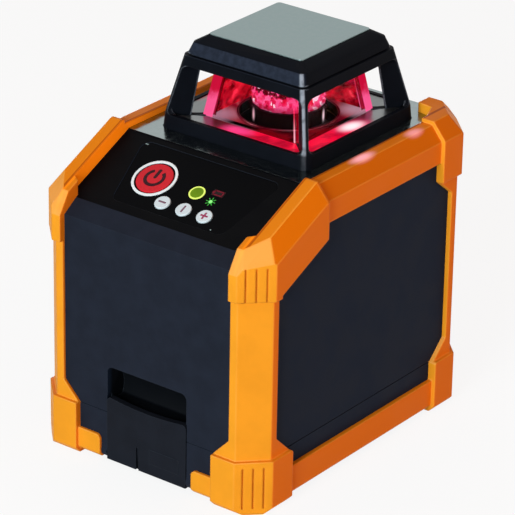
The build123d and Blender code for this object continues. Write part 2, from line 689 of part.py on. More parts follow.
with BuildPart() as base_tray:
    add(HOUSING)
    split(bisect_by=Plane.XY.offset(PARTING_Z), keep=Keep.BOTTOM)
    add(CAVITY, mode=Mode.SUBTRACT)
    with BuildSketch(Plane.XY.offset(TRAY_Z)):
        with Locations((0, (BAY_FRONT_Y + BAY_BACK_Y + BAY_WALL) / 2)):
            Rectangle(2 * (BAY_HALF + BAY_WALL), BAY_BACK_Y + BAY_WALL - BAY_FRONT_Y)
    extrude(amount=BAY_TOP_Z - TRAY_Z)
    with BuildSketch(Plane.XY.offset(TRAY_Z)):
        with Locations((0, TOWER_Y)):
            Circle(INSERT_R + BOSS_T)
    extrude(amount=INSERT_L)
    with BuildSketch(Plane.XY.offset(TRAY_Z)):
        with Locations(*CHASSIS_COLUMNS):
            Circle(COLUMN_R)
    extrude(amount=CHASSIS_Z - TRAY_Z)
    with BuildSketch(Plane.XY.offset(TRAY_Z)):
        with Locations(*BASE_COLUMNS):
            Circle(COLUMN_R)
    extrude(amount=PARTING_Z - TRAY_Z)
    for side in (-1, 1):
        with BuildSketch(Plane.YZ.offset(side * (DOOR_CUT + LUG_W / 2))):
            with Locations((HINGE_Y, HINGE_Z)):
                Circle(LUG_R)
        extrude(amount=LUG_W / 2, both=True)
    # room for the door and its hinge
    with Locations((0, BAY_FRONT_Y - CLEAR / 2, PARTING_Z)):
        Box(2 * DOOR_CUT, CLEAR, CLEAR, mode=Mode.SUBTRACT)
    with Locations((0, PACK_FRONT_Y - CLEAR / 2, HINGE_Z + HINGE_ROOM - CLEAR / 2)):
        Box(2 * DOOR_CUT, CLEAR, CLEAR, mode=Mode.SUBTRACT)
    # inside of the bay
    with BuildSketch(Plane.XY.offset(BAY_FLOOR_Z)):
        with Locations((0, (BAY_FRONT_Y + BAY_BACK_Y) / 2 - DOOR_T)):
            Rectangle(2 * BAY_HALF, BAY_BACK_Y - BAY_FRONT_Y + 2 * DOOR_T)
    extrude(amount=PACK_H + 2 * SEAT, mode=Mode.SUBTRACT)
    # hinge pin, tripod insert and screws
    with BuildSketch(Plane.YZ.offset(-DOOR_CUT - LUG_W)):
        with Locations((HINGE_Y, HINGE_Z)):
            Circle(HINGE_PIN_R + RUNNING)
    extrude(amount=2 * (DOOR_CUT + LUG_W), mode=Mode.SUBTRACT)
    with BuildSketch(Plane.XY.offset(TRAY_Z)):
        with Locations((0, TOWER_Y)):
            Circle(INSERT_R)
    extrude(amount=INSERT_L, mode=Mode.SUBTRACT)
    with BuildSketch(Plane.XY.offset(CHASSIS_Z)):
        with Locations(*CHASSIS_COLUMNS):
            Circle(CHASSIS_SCREW_R + SCREW_PLAY)
    extrude(amount=-CHASSIS_SCREW_L, mode=Mode.SUBTRACT)
    with BuildSketch(Plane.XY.offset(TRAY_Z)):
        with Locations(*BASE_COLUMNS):
            Circle(BASE_SCREW_R + SCREW_PLAY)
    extrude(amount=PARTING_Z, mode=Mode.SUBTRACT)
    with BuildSketch(Plane.XY.offset(TRAY_Z)):
        with Locations(*BASE_COLUMNS):
            Circle(BASE_HEAD_R + SCREW_PLAY)
    extrude(amount=3 * HEAD_T, mode=Mode.SUBTRACT)
    add(seam.part, mode=Mode.SUBTRACT)
    add(right_bumper.part, mode=Mode.SUBTRACT)
    add(left_bumper.part, mode=Mode.SUBTRACT)
base_tray.part.label = "base_tray"
export_step(base_tray.part, "parts/base_tray.step")

# Body shell: walls, key panel, deck and the finger recess above the door


def recess_form(skin, front):
    """The finger recess above the door, a scoop with a curved back, grown by the skin."""
    corner = RECESS_ROUND + skin
    with BuildPart() as scoop:
        with BuildSketch(Plane.YZ):
            with BuildLine():
                Polyline((-HALF_DEPTH, RECESS_TOP_Z), (front, RECESS_TOP_Z), (front, RECESS_FLOOR_Z),
                         (RECESS_Y, RECESS_FLOOR_Z))
                ThreePointArc((RECESS_Y, RECESS_FLOOR_Z),
                              (RECESS_Y + RECESS_MID[0], RECESS_FLOOR_Z + RECESS_MID[1]),
                              (-HALF_DEPTH, RECESS_TOP_Z))
            make_face()
            if skin:
                offset(amount=skin)
        extrude(amount=DOOR_HALF + skin, both=True)
        with BuildSketch(Plane.XZ):
            with Locations((0, RECESS_TOP_Z - RECESS_H)):
                RectangleRounded(2 * (DOOR_HALF + skin), 2 * (RECESS_H + skin), corner)
        extrude(amount=CLEAR, both=True, mode=Mode.INTERSECT)
    return scoop.part


ALL_KEYS = [POWER_KEY, MINUS_KEY, MODE_KEY, PLUS_KEY]
ROUND_LENSES = [STATUS_LENS, LED_LENS]
BOARD_HOLES = [(x, BOARD_MIDDLE + y) for x, y in four_ways(*BOARD_SCREW)]
TOWER_SCREWS = four_ways(TOWER_SCREW, TOWER_SCREW)
OVERLAY_OUTLINE = [
    (-OVERLAY_LOW_HALF, OVERLAY_LOW),
    (OVERLAY_LOW_HALF, OVERLAY_LOW),
    (OVERLAY_HIGH_HALF, OVERLAY_HIGH),
    (-OVERLAY_HIGH_HALF, OVERLAY_HIGH),
]

with BuildPart() as scoop_pan:
    add(recess_form(PAN_T, -HALF_DEPTH - PAN_T))
    add(HOUSING, mode=Mode.INTERSECT)

with BuildPart() as body_shell:
    add(HOUSING)
    split(bisect_by=Plane.XY.offset(PARTING_Z), keep=Keep.TOP)
    add(CAVITY, mode=Mode.SUBTRACT)
    add(scoop_pan.part)
    with BuildSketch(Plane.XY.offset(PARTING_Z)):
        with Locations(*BASE_COLUMNS):
            Circle(COLUMN_R)
    extrude(amount=BASE_SCREW_L - PARTING_Z + TRAY_Z + COLUMN_OVER)
    with BuildSketch(panel_plane(BOARD_N)):
        with Locations(*BOARD_HOLES):
            Circle(2 * SCREW_R + SCREW_PLAY)
    extrude(amount=-BOARD_N - WALL / 2)
    # door and finger recess
    with Locations((0, BAY_FRONT_Y - CLEAR / 2, DOOR_TOP_Z / 2)):
        Box(2 * DOOR_CUT, CLEAR, DOOR_TOP_Z + 2 * KEY_PLAY, mode=Mode.SUBTRACT)
    add(recess_form(0, -CLEAR), mode=Mode.SUBTRACT)
    # key panel
    with BuildSketch(panel_plane(-OVERLAY_DEEP)):
        with BuildLine():
            Polyline(*OVERLAY_OUTLINE, close=True)
        make_face()
        fillet(vertices(), radius=OVERLAY_ROUND)
    extrude(amount=BAR_RISE, mode=Mode.SUBTRACT)
    with BuildSketch(panel_plane(0)):
        for x, s, radius in ALL_KEYS:
            with Locations((x, s)):
                Circle(radius + KEY_PLAY)
        for x, s, radius in ROUND_LENSES:
            with Locations((x, s)):
                Circle(radius + SEAT)
        with Locations(BATTERY_LENS):
            Rectangle(BATTERY_LENS_SIZE[0] + 2 * SEAT, BATTERY_LENS_SIZE[1] + 2 * SEAT)
    extrude(amount=-2 * WALL, mode=Mode.SUBTRACT)
    with BuildSketch(panel_plane(BOARD_N)):
        with Locations(*BOARD_HOLES):
            Circle(SCREW_R + SCREW_PLAY)
    extrude(amount=BOARD_SCREW_L + 2 * SEAT, mode=Mode.SUBTRACT)
    # deck
    with BuildSketch(tower_plane(-2 * WALL)):
        Circle(DECK_HOLE_R)
        with Locations(*TOWER_SCREWS):
            Circle(TOWER_SCREW_R + SCREW_PLAY)
    extrude(amount=CLEAR, mode=Mode.SUBTRACT)
    with BuildSketch(Plane.XY.offset(PARTING_Z)):
        with Locations(*BASE_COLUMNS):
            Circle(BASE_SCREW_R + SCREW_PLAY)
    extrude(amount=BASE_SCREW_L - PARTING_Z + TRAY_Z + COLUMN_OVER / 2, mode=Mode.SUBTRACT)
    add(seam.part, mode=Mode.SUBTRACT)
    add(right_bumper.part, mode=Mode.SUBTRACT)
    add(left_bumper.part, mode=Mode.SUBTRACT)
body_shell.part.label = "body_shell"
export_step(body_shell.part, "parts/body_shell.step")

with BuildPart() as deck_plate:
    with BuildSketch(tower_plane(0).move(Location((0, -TOWER_Y, 0)))):
        with BuildLine():
            Polyline(
                (-RAIL_X, PANEL_END_Y),
                (RAIL_X, PANEL_END_Y),
                *BACK_CORNERS,
                (BLOCK_X, HALF_DEPTH),
                (-BLOCK_X, HALF_DEPTH),
                *[(-x, y) for x, y in reversed(BACK_CORNERS)],
                close=True,
            )
        make_face()
        offset(amount=-SEAT, kind=Kind.INTERSECTION)
        with Locations((0, TOWER_Y)):
            RectangleRounded(
                2 * (TOWER_FOOT_HALF + SEAT), 2 * (TOWER_FOOT_HALF + SEAT), TOWER_ROUND + SEAT,
                mode=Mode.SUBTRACT,
            )
    extrude(amount=PLATE_T)
deck_plate.part.label = "deck_plate"
export_step(deck_plate.part, "parts/deck_plate.step")

# Base screws go up through the tray's columns into the shell's

with BuildPart() as base_screws:
    with BuildSketch(Plane.XY.offset(TRAY_Z + HEAD_T)):
        with Locations(*BASE_COLUMNS):
            Circle(BASE_HEAD_R)
    extrude(amount=2 * HEAD_T)
    with BuildSketch(Plane.XY.offset(TRAY_Z + 2 * HEAD_T)):
        with Locations(*BASE_COLUMNS):
            Circle(BASE_SCREW_R)
    extrude(amount=BASE_SCREW_L)
base_screws.part.label = "base_screws"
export_step(base_screws.part, "parts/base_screws.step")

with BuildPart() as tripod_insert:
    with BuildSketch(Plane.XY.offset(TRAY_Z)):
        with Locations((0, TOWER_Y)):
            Circle(INSERT_R)
    extrude(amount=INSERT_L)
    with BuildSketch(Plane.XY.offset(TRAY_Z)):
        with Locations((0, TOWER_Y)):
            Circle(THREAD_R)
    extrude(amount=THREAD_L, mode=Mode.SUBTRACT)
tripod_insert.part.label = "tripod_insert"
export_step(tripod_insert.part, "parts/tripod_insert.step")

# Key panel: film, keys, lenses and the board below them

with BuildPart() as panel_overlay:
    with BuildSketch(panel_plane(-OVERLAY_DEEP)):
        with BuildLine():
            Polyline(*OVERLAY_OUTLINE, close=True)
        make_face()
        offset(amount=-SEAT, kind=Kind.INTERSECTION)
        fillet(vertices(), radius=OVERLAY_ROUND)
        for x, s, radius in ALL_KEYS:
            with Locations((x, s)):
                Circle(radius + KEY_PLAY, mode=Mode.SUBTRACT)
        for x, s, radius in ROUND_LENSES:
            with Locations((x, s)):
                Circle(radius + SEAT, mode=Mode.SUBTRACT)
        with Locations(BATTERY_LENS):
            Rectangle(BATTERY_LENS_SIZE[0] + 2 * SEAT, BATTERY_LENS_SIZE[1] + 2 * SEAT,
                      mode=Mode.SUBTRACT)
    extrude(amount=OVERLAY_T)
panel_overlay.part.label = "panel_overlay"
export_step(panel_overlay.part, "parts/panel_overlay.step")

with BuildPart() as power_ring:
    with BuildSketch(panel_plane(OVERLAY_T - OVERLAY_DEEP)):
        with Locations(POWER_KEY[:2]):
            Circle(POWER_KEY[2] + RING_OUTER)
            Circle(POWER_KEY[2] + RING_INNER, mode=Mode.SUBTRACT)
    extrude(amount=KEY_PROUD)
power_ring.part.label = "power_ring"
export_step(power_ring.part, "parts/power_ring.step")

KEYS = {"power_button": POWER_KEY, "minus_button": MINUS_KEY, "mode_button": MODE_KEY,
        "plus_button": PLUS_KEY}

for key, (across, along, radius) in KEYS.items():
    with BuildPart() as button:
        with BuildSketch(panel_plane(-WALL - FLANGE_GAP)):
            with Locations((across, along)):
                Circle(radius + KEY_FLANGE)
        extrude(amount=-FLANGE_T)
        with BuildSketch(panel_plane(-WALL - FLANGE_GAP - FLANGE_T)):
            with Locations((across, along)):
                Circle(radius)
        extrude(amount=WALL + FLANGE_GAP + FLANGE_T + KEY_PROUD)
        fillet(edges().sort_by(Axis.Z)[-1:], radius=KEY_ROUND)
    button.part.label = key
    export_step(button.part, f"parts/{key}.step")

LENS_FOOT = BOARD_N + LAMP_H + KEY_PLAY

with BuildPart() as status_lens:
    with BuildSketch(panel_plane(LENS_FOOT)):
        with Locations(STATUS_LENS[:2]):
            Circle(STATUS_LENS[2])
    extrude(amount=-LENS_FOOT)
status_lens.part.label = "status_lens"
export_step(status_lens.part, "parts/status_lens.step")

with BuildPart() as battery_lens:
    with BuildSketch(panel_plane(LENS_FOOT)):
        with Locations(BATTERY_LENS):
            Rectangle(*BATTERY_LENS_SIZE)
    extrude(amount=-LENS_FOOT)
battery_lens.part.label = "battery_lens"
export_step(battery_lens.part, "parts/battery_lens.step")

with BuildPart() as led_lens:
    with BuildSketch(panel_plane(LENS_FOOT)):
        with Locations(LED_LENS[:2]):
            Circle(LED_LENS[2])
    extrude(amount=-LENS_FOOT)
led_lens.part.label = "led_lens"
export_step(led_lens.part, "parts/led_lens.step")

with BuildPart() as keypad_board:
    with BuildSketch(panel_plane(BOARD_N)):
        with Locations((0, BOARD_MIDDLE)):
            RectangleRounded(*BOARD_SIZE, BOARD_ROUND)
        with Locations(*BOARD_HOLES):
            Circle(SCREW_R + SCREW_PLAY, mode=Mode.SUBTRACT)
    extrude(amount=-BOARD_T)
keypad_board.part.label = "keypad_board"
export_step(keypad_board.part, "parts/keypad_board.step")

with BuildPart() as key_switches:
    with BuildSketch(panel_plane(BOARD_N)):
        with Locations(*[key[:2] for key in ALL_KEYS]):
            Rectangle(SWITCH_SIDE, SWITCH_SIDE)
    extrude(amount=SWITCH_H / 2)
    with BuildSketch(panel_plane(BOARD_N)):
        with Locations(*[key[:2] for key in ALL_KEYS]):
            Circle(SWITCH_SIDE / 4)
    extrude(amount=SWITCH_H)
key_switches.part.label = "key_switches"
export_step(key_switches.part, "parts/key_switches.step")

with BuildPart() as panel_lamps:
    with BuildSketch(panel_plane(BOARD_N)):
        with Locations(STATUS_LENS[:2], BATTERY_LENS, LED_LENS[:2]):
            Rectangle(*LAMP_SIZE)
    extrude(amount=LAMP_H)
panel_lamps.part.label = "panel_lamps"
export_step(panel_lamps.part, "parts/panel_lamps.step")

# Tower: raked frame with four blade pillars, glass, sills, inner deck and cap


def window_cut(outline, round_low):
    """The front window's room with a side outline (y from the axis, height above the deck)."""
    with BuildPart() as cut:
        with BuildSketch(Plane(origin=(0, TOWER_Y, DECK_Z), x_dir=(0, 1, 0), z_dir=(1, 0, 0))):
            with BuildLine():
                Polyline(*outline, close=True)
            make_face()
        extrude(amount=2 * TOWER_FOOT_HALF, both=True)
        add(front_wedge(BLADE_T), mode=Mode.INTERSECT)
        corners = edges().filter_by(Plane.XY).filter_by(Axis.X, reverse=True).group_by(Axis.Z)
        fillet(corners[0] + corners[-1] if round_low else corners[-1], radius=WINDOW_ROUND)
    return cut.part


WINDOW_CUTS = [
    window_cut([
        (0, SILL_IN_H - SILL_T),
        (-SILL_IN_HALF, SILL_IN_H - SILL_T),
        (-SILL_OUT_HALF, SILL_OUT_H - SILL_T),
        (-SILL_OUT_HALF, WINDOW_TOP_H),
        (0, WINDOW_TOP_H),
    ], round_low=False),
    window_cut([
        (-SILL_OUT_HALF, TOWER_RIM_H),
        (-2 * TOWER_FOOT_HALF, TOWER_RIM_H),
        (-2 * TOWER_FOOT_HALF, WINDOW_TOP_H),
        (-SILL_OUT_HALF, WINDOW_TOP_H),
    ], round_low=True),
]

with BuildPart() as tower_frame:
    add(square_stack([
        (TOWER_FOOT_HALF, TOWER_ROUND, 0),
        (TOWER_RIM_HALF, TOWER_ROUND, TOWER_RIM_H),
        (TOWER_TOP_HALF, TOWER_TOP_ROUND, TOWER_TOP_H),
    ]))
    with BuildSketch(tower_plane(TOWER_TOP_H)):
        RectangleRounded(2 * TOWER_NECK_HALF, 2 * TOWER_NECK_HALF, TOWER_TOP_ROUND)
    extrude(amount=TOWER_NECK_H - TOWER_TOP_H)
    add(square_stack([
        (VOID_LOW_HALF, VOID_ROUND, VOID_LOW_H),
        (VOID_TOP_HALF, VOID_ROUND, TOWER_NECK_H + VOID_OVER),
    ]), mode=Mode.SUBTRACT)
    with BuildSketch(tower_plane(0)):
        Rectangle(2 * TOWER_HOLE_HALF, 2 * TOWER_HOLE_HALF)
    extrude(amount=TOWER_RIM_H, mode=Mode.SUBTRACT)
    for turn in range(4):
        for cut in WINDOW_CUTS:
            add(cut.rotate(Axis((0, TOWER_Y, 0), (0, 0, 1)), 90 * turn), mode=Mode.SUBTRACT)
    with BuildSketch(tower_plane(0)):
        with Locations(*TOWER_SCREWS):
            Circle(TOWER_SCREW_R + SCREW_PLAY)
    extrude(amount=TOWER_SCREW_UP + SEAT, mode=Mode.SUBTRACT)
tower_frame.part.label = "tower_frame"
export_step(tower_frame.part, "parts/tower_frame.step")

with BuildPart() as tower_cap:
    add(square_stack([
        (CAP_HALF, TOWER_TOP_ROUND, TOWER_NECK_H),
        (CAP_MID_HALF, CAP_MID_ROUND, CAP_MID_H),
        (CAP_TOP_HALF, CAP_TOP_ROUND, CAP_TOP_H),
    ]))
    with BuildSketch(tower_plane(CAP_TOP_H - CAP_WALL)):
        RectangleRounded(2 * (PANE_TOP_HALF - PANE_T), 2 * (PANE_TOP_HALF - PANE_T), CAP_TOP_ROUND)
    extrude(amount=-CAP_TOP_H, mode=Mode.SUBTRACT)
tower_cap.part.label = "tower_cap"
export_step(tower_cap.part, "parts/tower_cap.step")

with BuildPart() as roof_plate:
    with BuildSketch(tower_plane(CAP_TOP_H)):
        RectangleRounded(2 * ROOF_HALF, 2 * ROOF_HALF, CAP_TOP_ROUND)
    extrude(amount=ROOF_T)
roof_plate.part.label = "roof_plate"
export_step(roof_plate.part, "parts/roof_plate.step")

with BuildPart() as sill_form:
    with BuildSketch(Plane.YZ):
        with BuildLine():
            Polyline(
                (TOWER_Y - SILL_IN_HALF - SEAT, DECK_Z + SILL_IN_H - SILL_T + SILL_EASE),
                (TOWER_Y - SILL_OUT_HALF + SEAT, DECK_Z + SILL_OUT_H - SILL_T - SILL_EASE),
                (TOWER_Y - SILL_OUT_HALF + SEAT, DECK_Z + SILL_OUT_H - SILL_EASE),
                (TOWER_Y - SILL_IN_HALF - SEAT, DECK_Z + SILL_IN_H + SILL_EASE),
                close=True,
            )
        make_face()
    extrude(amount=2 * TOWER_FOOT_HALF, both=True)
    add(front_wedge(BLADE_T + 4 * SEAT), mode=Mode.INTERSECT)

with BuildPart() as sill_plates:
    for turn in range(4):
        add(sill_form.part.rotate(Axis((0, TOWER_Y, 0), (0, 0, 1)), 90 * turn))
sill_plates.part.label = "sill_plates"
export_step(sill_plates.part, "parts/sill_plates.step")

with BuildPart() as pane_form:
    for half, height in ((PANE_LOW_HALF, SILL_IN_H), (PANE_TOP_HALF, PANE_TOP_H)):
        with BuildSketch(tower_plane(height)):
            Rectangle(2 * half, 2 * half)
    loft(ruled=True)
    for half, height in ((PANE_LOW_HALF, SILL_IN_H), (PANE_TOP_HALF, PANE_TOP_H)):
        with BuildSketch(tower_plane(height)):
            Rectangle(2 * (half - PANE_T), 2 * (half - PANE_T))
    loft(ruled=True, mode=Mode.SUBTRACT)
    add(front_wedge(RUNNING), mode=Mode.INTERSECT)

with BuildPart() as window_panes:
    for turn in range(4):
        add(pane_form.part.rotate(Axis((0, TOWER_Y, 0), (0, 0, 1)), 90 * turn))
window_panes.part.label = "window_panes"
export_step(window_panes.part, "parts/window_panes.step")

with BuildPart() as pane_gasket:
    with BuildSketch(tower_plane(PANE_TOP_H)):
        Rectangle(2 * (PANE_TOP_HALF + GASKET_LAP), 2 * (PANE_TOP_HALF + GASKET_LAP))
        Rectangle(2 * (PANE_TOP_HALF - PANE_T), 2 * (PANE_TOP_HALF - PANE_T), mode=Mode.SUBTRACT)
    extrude(amount=TOWER_NECK_H - PANE_TOP_H)
pane_gasket.part.label = "pane_gasket"
export_step(pane_gasket.part, "parts/pane_gasket.step")

with BuildPart() as inner_deck:
    with BuildSketch(tower_plane(0)):
        Rectangle(2 * (TOWER_HOLE_HALF - SEAT), 2 * (TOWER_HOLE_HALF - SEAT))
    extrude(amount=SILL_IN_H)
    with BuildSketch(tower_plane(0)):
        Circle(DECK_HOLE_R + SEAT)
    extrude(amount=SILL_IN_H - WALL, mode=Mode.SUBTRACT)
    with BuildSketch(tower_plane(0)):
        Circle(WELL_R)
    extrude(amount=SILL_IN_H, mode=Mode.SUBTRACT)
inner_deck.part.label = "inner_deck"
export_step(inner_deck.part, "parts/inner_deck.step")

with BuildPart() as well_ring:
    with BuildSketch(tower_plane(SILL_IN_H + WELL_RING_PROUD - WELL_RING_H)):
        Circle(WELL_R)
        Circle(WELL_R - WELL_RING_T, mode=Mode.SUBTRACT)
    extrude(amount=WELL_RING_H)
well_ring.part.label = "well_ring"
export_step(well_ring.part, "parts/well_ring.step")

with BuildPart() as tower_screws:
    with BuildSketch(tower_plane(-WALL)):
        with Locations(*TOWER_SCREWS):
            Circle(2 * TOWER_SCREW_R)
    extrude(amount=-HEAD_T)
    with BuildSketch(tower_plane(-WALL)):
        with Locations(*TOWER_SCREWS):
            Circle(TOWER_SCREW_R)
    extrude(amount=WALL + TOWER_SCREW_UP)
tower_screws.part.label = "tower_screws"
export_step(tower_screws.part, "parts/tower_screws.step")

# Laser carriage: tube with motor flange and roll lever, on the gimbal ring by two pins

CROSS_Y = Plane(origin=(0, TOWER_Y, PIVOT_Z), x_dir=(1, 0, 0), z_dir=(0, -1, 0))
CROSS_X = Plane(origin=(0, TOWER_Y, PIVOT_Z), x_dir=(0, 1, 0), z_dir=(1, 0, 0))
MOTOR_AT = (0, MOTOR_OFFSET)

with BuildPart() as laser_tube:
    add(turned([(0, TUBE_LOW), (TUBE_R, TUBE_LOW), (TUBE_R, TUBE_HIGH), (0, TUBE_HIGH)]))
    with BuildSketch(pivot_plane(TUBE_HIGH - FLANGE_DEPTH)):
        Circle(TUBE_R)
        with Locations(MOTOR_AT):
            Circle(MOTOR_R + MOTOR_GAP)
        make_hull()
    extrude(amount=FLANGE_DEPTH)
    with BuildSketch(CROSS_X.offset(BEARING_R + RUNNING)):
        with Locations((0, ROLL_RISE)):
            Rectangle(ARM_SIDE, ARM_SIDE)
    extrude(amount=LEVER - NECK_GAP - BEARING_R)
    with BuildSketch(CROSS_X.offset(LEVER - NECK_GAP)):
        with Locations((0, ROLL_RISE)):
            Circle(BALL_NECK_R)
    extrude(amount=NECK_GAP)
    with Locations((LEVER, TOWER_Y, PIVOT_Z + ROLL_RISE)):
        Sphere(BALL_R)
    add(turned([
        (0, TUBE_LOW),
        (TUBE_BORE_R, TUBE_LOW),
        (TUBE_BORE_R, BEARING_LOW),
        (BEARING_R, BEARING_LOW),
        (BEARING_R, TUBE_HIGH),
        (0, TUBE_HIGH),
    ]), mode=Mode.SUBTRACT)
    with BuildSketch(pivot_plane(TUBE_HIGH - FLANGE_DEPTH)):
        with Locations(MOTOR_AT):
            Circle(3 * MOTOR_SHAFT_R)
    extrude(amount=FLANGE_DEPTH, mode=Mode.SUBTRACT)
    with BuildSketch(CROSS_Y):
        Circle(PIN_R)
    extrude(amount=CLEAR, both=True, mode=Mode.SUBTRACT)
laser_tube.part.label = "laser_tube"
export_step(laser_tube.part, "parts/laser_tube.step")

with BuildPart() as tube_pins:
    for side in (-1, 1):
        with BuildSketch(CROSS_Y.offset(side * (TUBE_BORE_R + PIN_SHY))):
            Circle(PIN_R)
        extrude(amount=side * (RING_OUT_R - TUBE_BORE_R - PIN_SHY))
tube_pins.part.label = "tube_pins"
export_step(tube_pins.part, "parts/tube_pins.step")

with BuildPart() as laser_module:
    add(turned([
        (0, MODULE_LOW),
        (TUBE_R - MODULE_FLANGE, MODULE_LOW),
        (TUBE_R - MODULE_FLANGE, TUBE_LOW),
        (MODULE_R, TUBE_LOW),
        (MODULE_R, MODULE_HIGH),
        (APERTURE_R, MODULE_HIGH),
        (APERTURE_R, MODULE_HIGH - APERTURE_DEEP),
        (0, MODULE_HIGH - APERTURE_DEEP),
    ]))
laser_module.part.label = "laser_module"
export_step(laser_module.part, "parts/laser_module.step")

LENS_TOP = LENS_LOW + LENS_T

with BuildPart() as collimator_lens:
    add(turned([(0, LENS_LOW), (MODULE_R, LENS_LOW), (MODULE_R, LENS_TOP), (0, LENS_TOP)]))
    with Locations((0, TOWER_Y, PIVOT_Z + LENS_TOP - LENS_CURVE)):
        Sphere(LENS_CURVE, mode=Mode.INTERSECT)
collimator_lens.part.label = "collimator_lens"
export_step(collimator_lens.part, "parts/collimator_lens.step")

with BuildPart() as spindle_bearings:
    for low in (BEARING_LOW, TUBE_HIGH - BEARING_W):
        with BuildSketch(pivot_plane(low)):
            Circle(BEARING_R)
            Circle(SHAFT_R + RUNNING, mode=Mode.SUBTRACT)
        extrude(amount=BEARING_W)
spindle_bearings.part.label = "spindle_bearings"
export_step(spindle_bearings.part, "parts/spindle_bearings.step")

with BuildPart() as spin_motor:
    with BuildSketch(pivot_plane(TUBE_HIGH - FLANGE_DEPTH)):
        with Locations(MOTOR_AT):
            Circle(MOTOR_R)
    extrude(amount=-MOTOR_H)
    with BuildSketch(pivot_plane(TUBE_HIGH - FLANGE_DEPTH)):
        with Locations(MOTOR_AT):
            Circle(MOTOR_SHAFT_R + RUNNING)
    extrude(amount=-MOTOR_H / 2, mode=Mode.SUBTRACT)
spin_motor.part.label = "spin_motor"
export_step(spin_motor.part, "parts/spin_motor.step")

with BuildPart() as drive_belt:
    with BuildSketch(pivot_plane(BELT_LOW)):
        Circle(PULLEY_R + BELT_PLAY + BELT_T)
        with Locations(MOTOR_AT):
            Circle(MOTOR_PULLEY_R + BELT_PLAY + BELT_T)
        make_hull()
    extrude(amount=BELT_HIGH - BELT_LOW)
    with BuildSketch(pivot_plane(BELT_LOW)):
        Circle(PULLEY_R + BELT_PLAY)
        with Locations(MOTOR_AT):
            Circle(MOTOR_PULLEY_R + BELT_PLAY)
        make_hull()
    extrude(amount=BELT_HIGH - BELT_LOW, mode=Mode.SUBTRACT)
drive_belt.part.label = "drive_belt"
export_step(drive_belt.part, "parts/drive_belt.step")

with BuildPart() as motor_pulley:
    with BuildSketch(pivot_plane(PULLEY_LOW)):
        with Locations(MOTOR_AT):
            Circle(MOTOR_RIM_R)
    extrude(amount=BELT_LOW - PULLEY_LOW - BELT_PLAY)
    with BuildSketch(pivot_plane(PULLEY_LOW)):
        with Locations(MOTOR_AT):
            Circle(MOTOR_PULLEY_R)
    extrude(amount=PULLEY_HIGH - PULLEY_LOW)
    with BuildSketch(pivot_plane(BELT_HIGH + BELT_PLAY)):
        with Locations(MOTOR_AT):
            Circle(MOTOR_RIM_R)
    extrude(amount=PULLEY_HIGH - BELT_HIGH - BELT_PLAY)
    with BuildSketch(pivot_plane(PULLEY_LOW)):
        with Locations(MOTOR_AT):
            Circle(MOTOR_SHAFT_R)
    extrude(amount=TUBE_HIGH - PULLEY_LOW - FLANGE_DEPTH - MOTOR_H / 2 + KEY_PLAY)
motor_pulley.part.label = "motor_pulley"
export_step(motor_pulley.part, "parts/motor_pulley.step")

with BuildPart() as level_sensors:
    with Locations((0, TOWER_Y - TUBE_R - SENSOR_SIZE[1] / 2, PIVOT_Z - SENSOR_DROP)):
        Box(*SENSOR_SIZE)
    with Locations((-TUBE_R - SENSOR_SIZE[1] / 2, TOWER_Y, PIVOT_Z - SENSOR_DROP)):
        Box(SENSOR_SIZE[1], SENSOR_SIZE[0], SENSOR_SIZE[2])
level_sensors.part.label = "level_sensors"
export_step(level_sensors.part, "parts/level_sensors.step")

# Rotor: hub with pulley and disc, prism and its clear faceted drum

HEAD_LOW = HEAD_Z - PIVOT_Z

with BuildPart() as rotor_hub:
    add(turned([
        (BEAM_R, BEARING_LOW - SHAFT_END),
        (SHAFT_R, BEARING_LOW - SHAFT_END),
        (SHAFT_R, PULLEY_LOW),
        (PULLEY_RIM_R, PULLEY_LOW),
        (PULLEY_RIM_R, BELT_LOW - BELT_PLAY),
        (PULLEY_R, BELT_LOW - BELT_PLAY),
        (PULLEY_R, BELT_HIGH + BELT_PLAY),
        (PULLEY_RIM_R, BELT_HIGH + BELT_PLAY),
        (PULLEY_RIM_R, PULLEY_HIGH),
        (NECK_R, PULLEY_HIGH),
        (NECK_R, HEAD_LOW),
        (HEAD_DISC_R, HEAD_LOW),
        (HEAD_DISC_R, HEAD_LOW + HEAD_DISC_T),
        (BEAM_R, HEAD_LOW + HEAD_DISC_T),
    ]))
rotor_hub.part.label = "rotor_hub"
export_step(rotor_hub.part, "parts/rotor_hub.step")

DRUM_LOW = HEAD_BASE_H + HEAD_DISC_T
DRUM_LEVELS = [
    (DRUM_R, DRUM_LOW),
    (DRUM_R, DRUM_LOW + DRUM_H - DRUM_EDGE),
    (DRUM_TOP_R, DRUM_LOW + DRUM_H),
]

with BuildPart() as rotor_drum:
    for radius, height in DRUM_LEVELS:
        with BuildSketch(tower_plane(height)):
            RegularPolygon(radius=radius, side_count=DRUM_SIDES)
    loft(ruled=True)
    with BuildSketch(tower_plane(DRUM_LOW)):
        Circle(DRUM_BORE_R)
    extrude(amount=DRUM_H, mode=Mode.SUBTRACT)
rotor_drum.part.label = "rotor_drum"
export_step(rotor_drum.part, "parts/rotor_drum.step")

PRISM_SIDE = PRISM_FACE * sqrt(2)

with BuildPart() as pentaprism:
    with BuildSketch(Plane(origin=(-PRISM_FACE / 2, TOWER_Y, DRUM_Z), x_dir=(1, 0, 0), z_dir=(0, -1, 0))):
        with BuildLine():
            Polyline((0, 0), (PRISM_FACE, 0), (PRISM_SIDE, PRISM_FACE), (PRISM_FACE, PRISM_SIDE),
                     (0, PRISM_FACE), close=True)
        make_face()
    extrude(amount=PRISM_WIDTH / 2, both=True)
pentaprism.part.label = "pentaprism"
export_step(pentaprism.part, "parts/pentaprism.step")

# Gimbal ring with the pitch lever, hung in the chassis' yoke

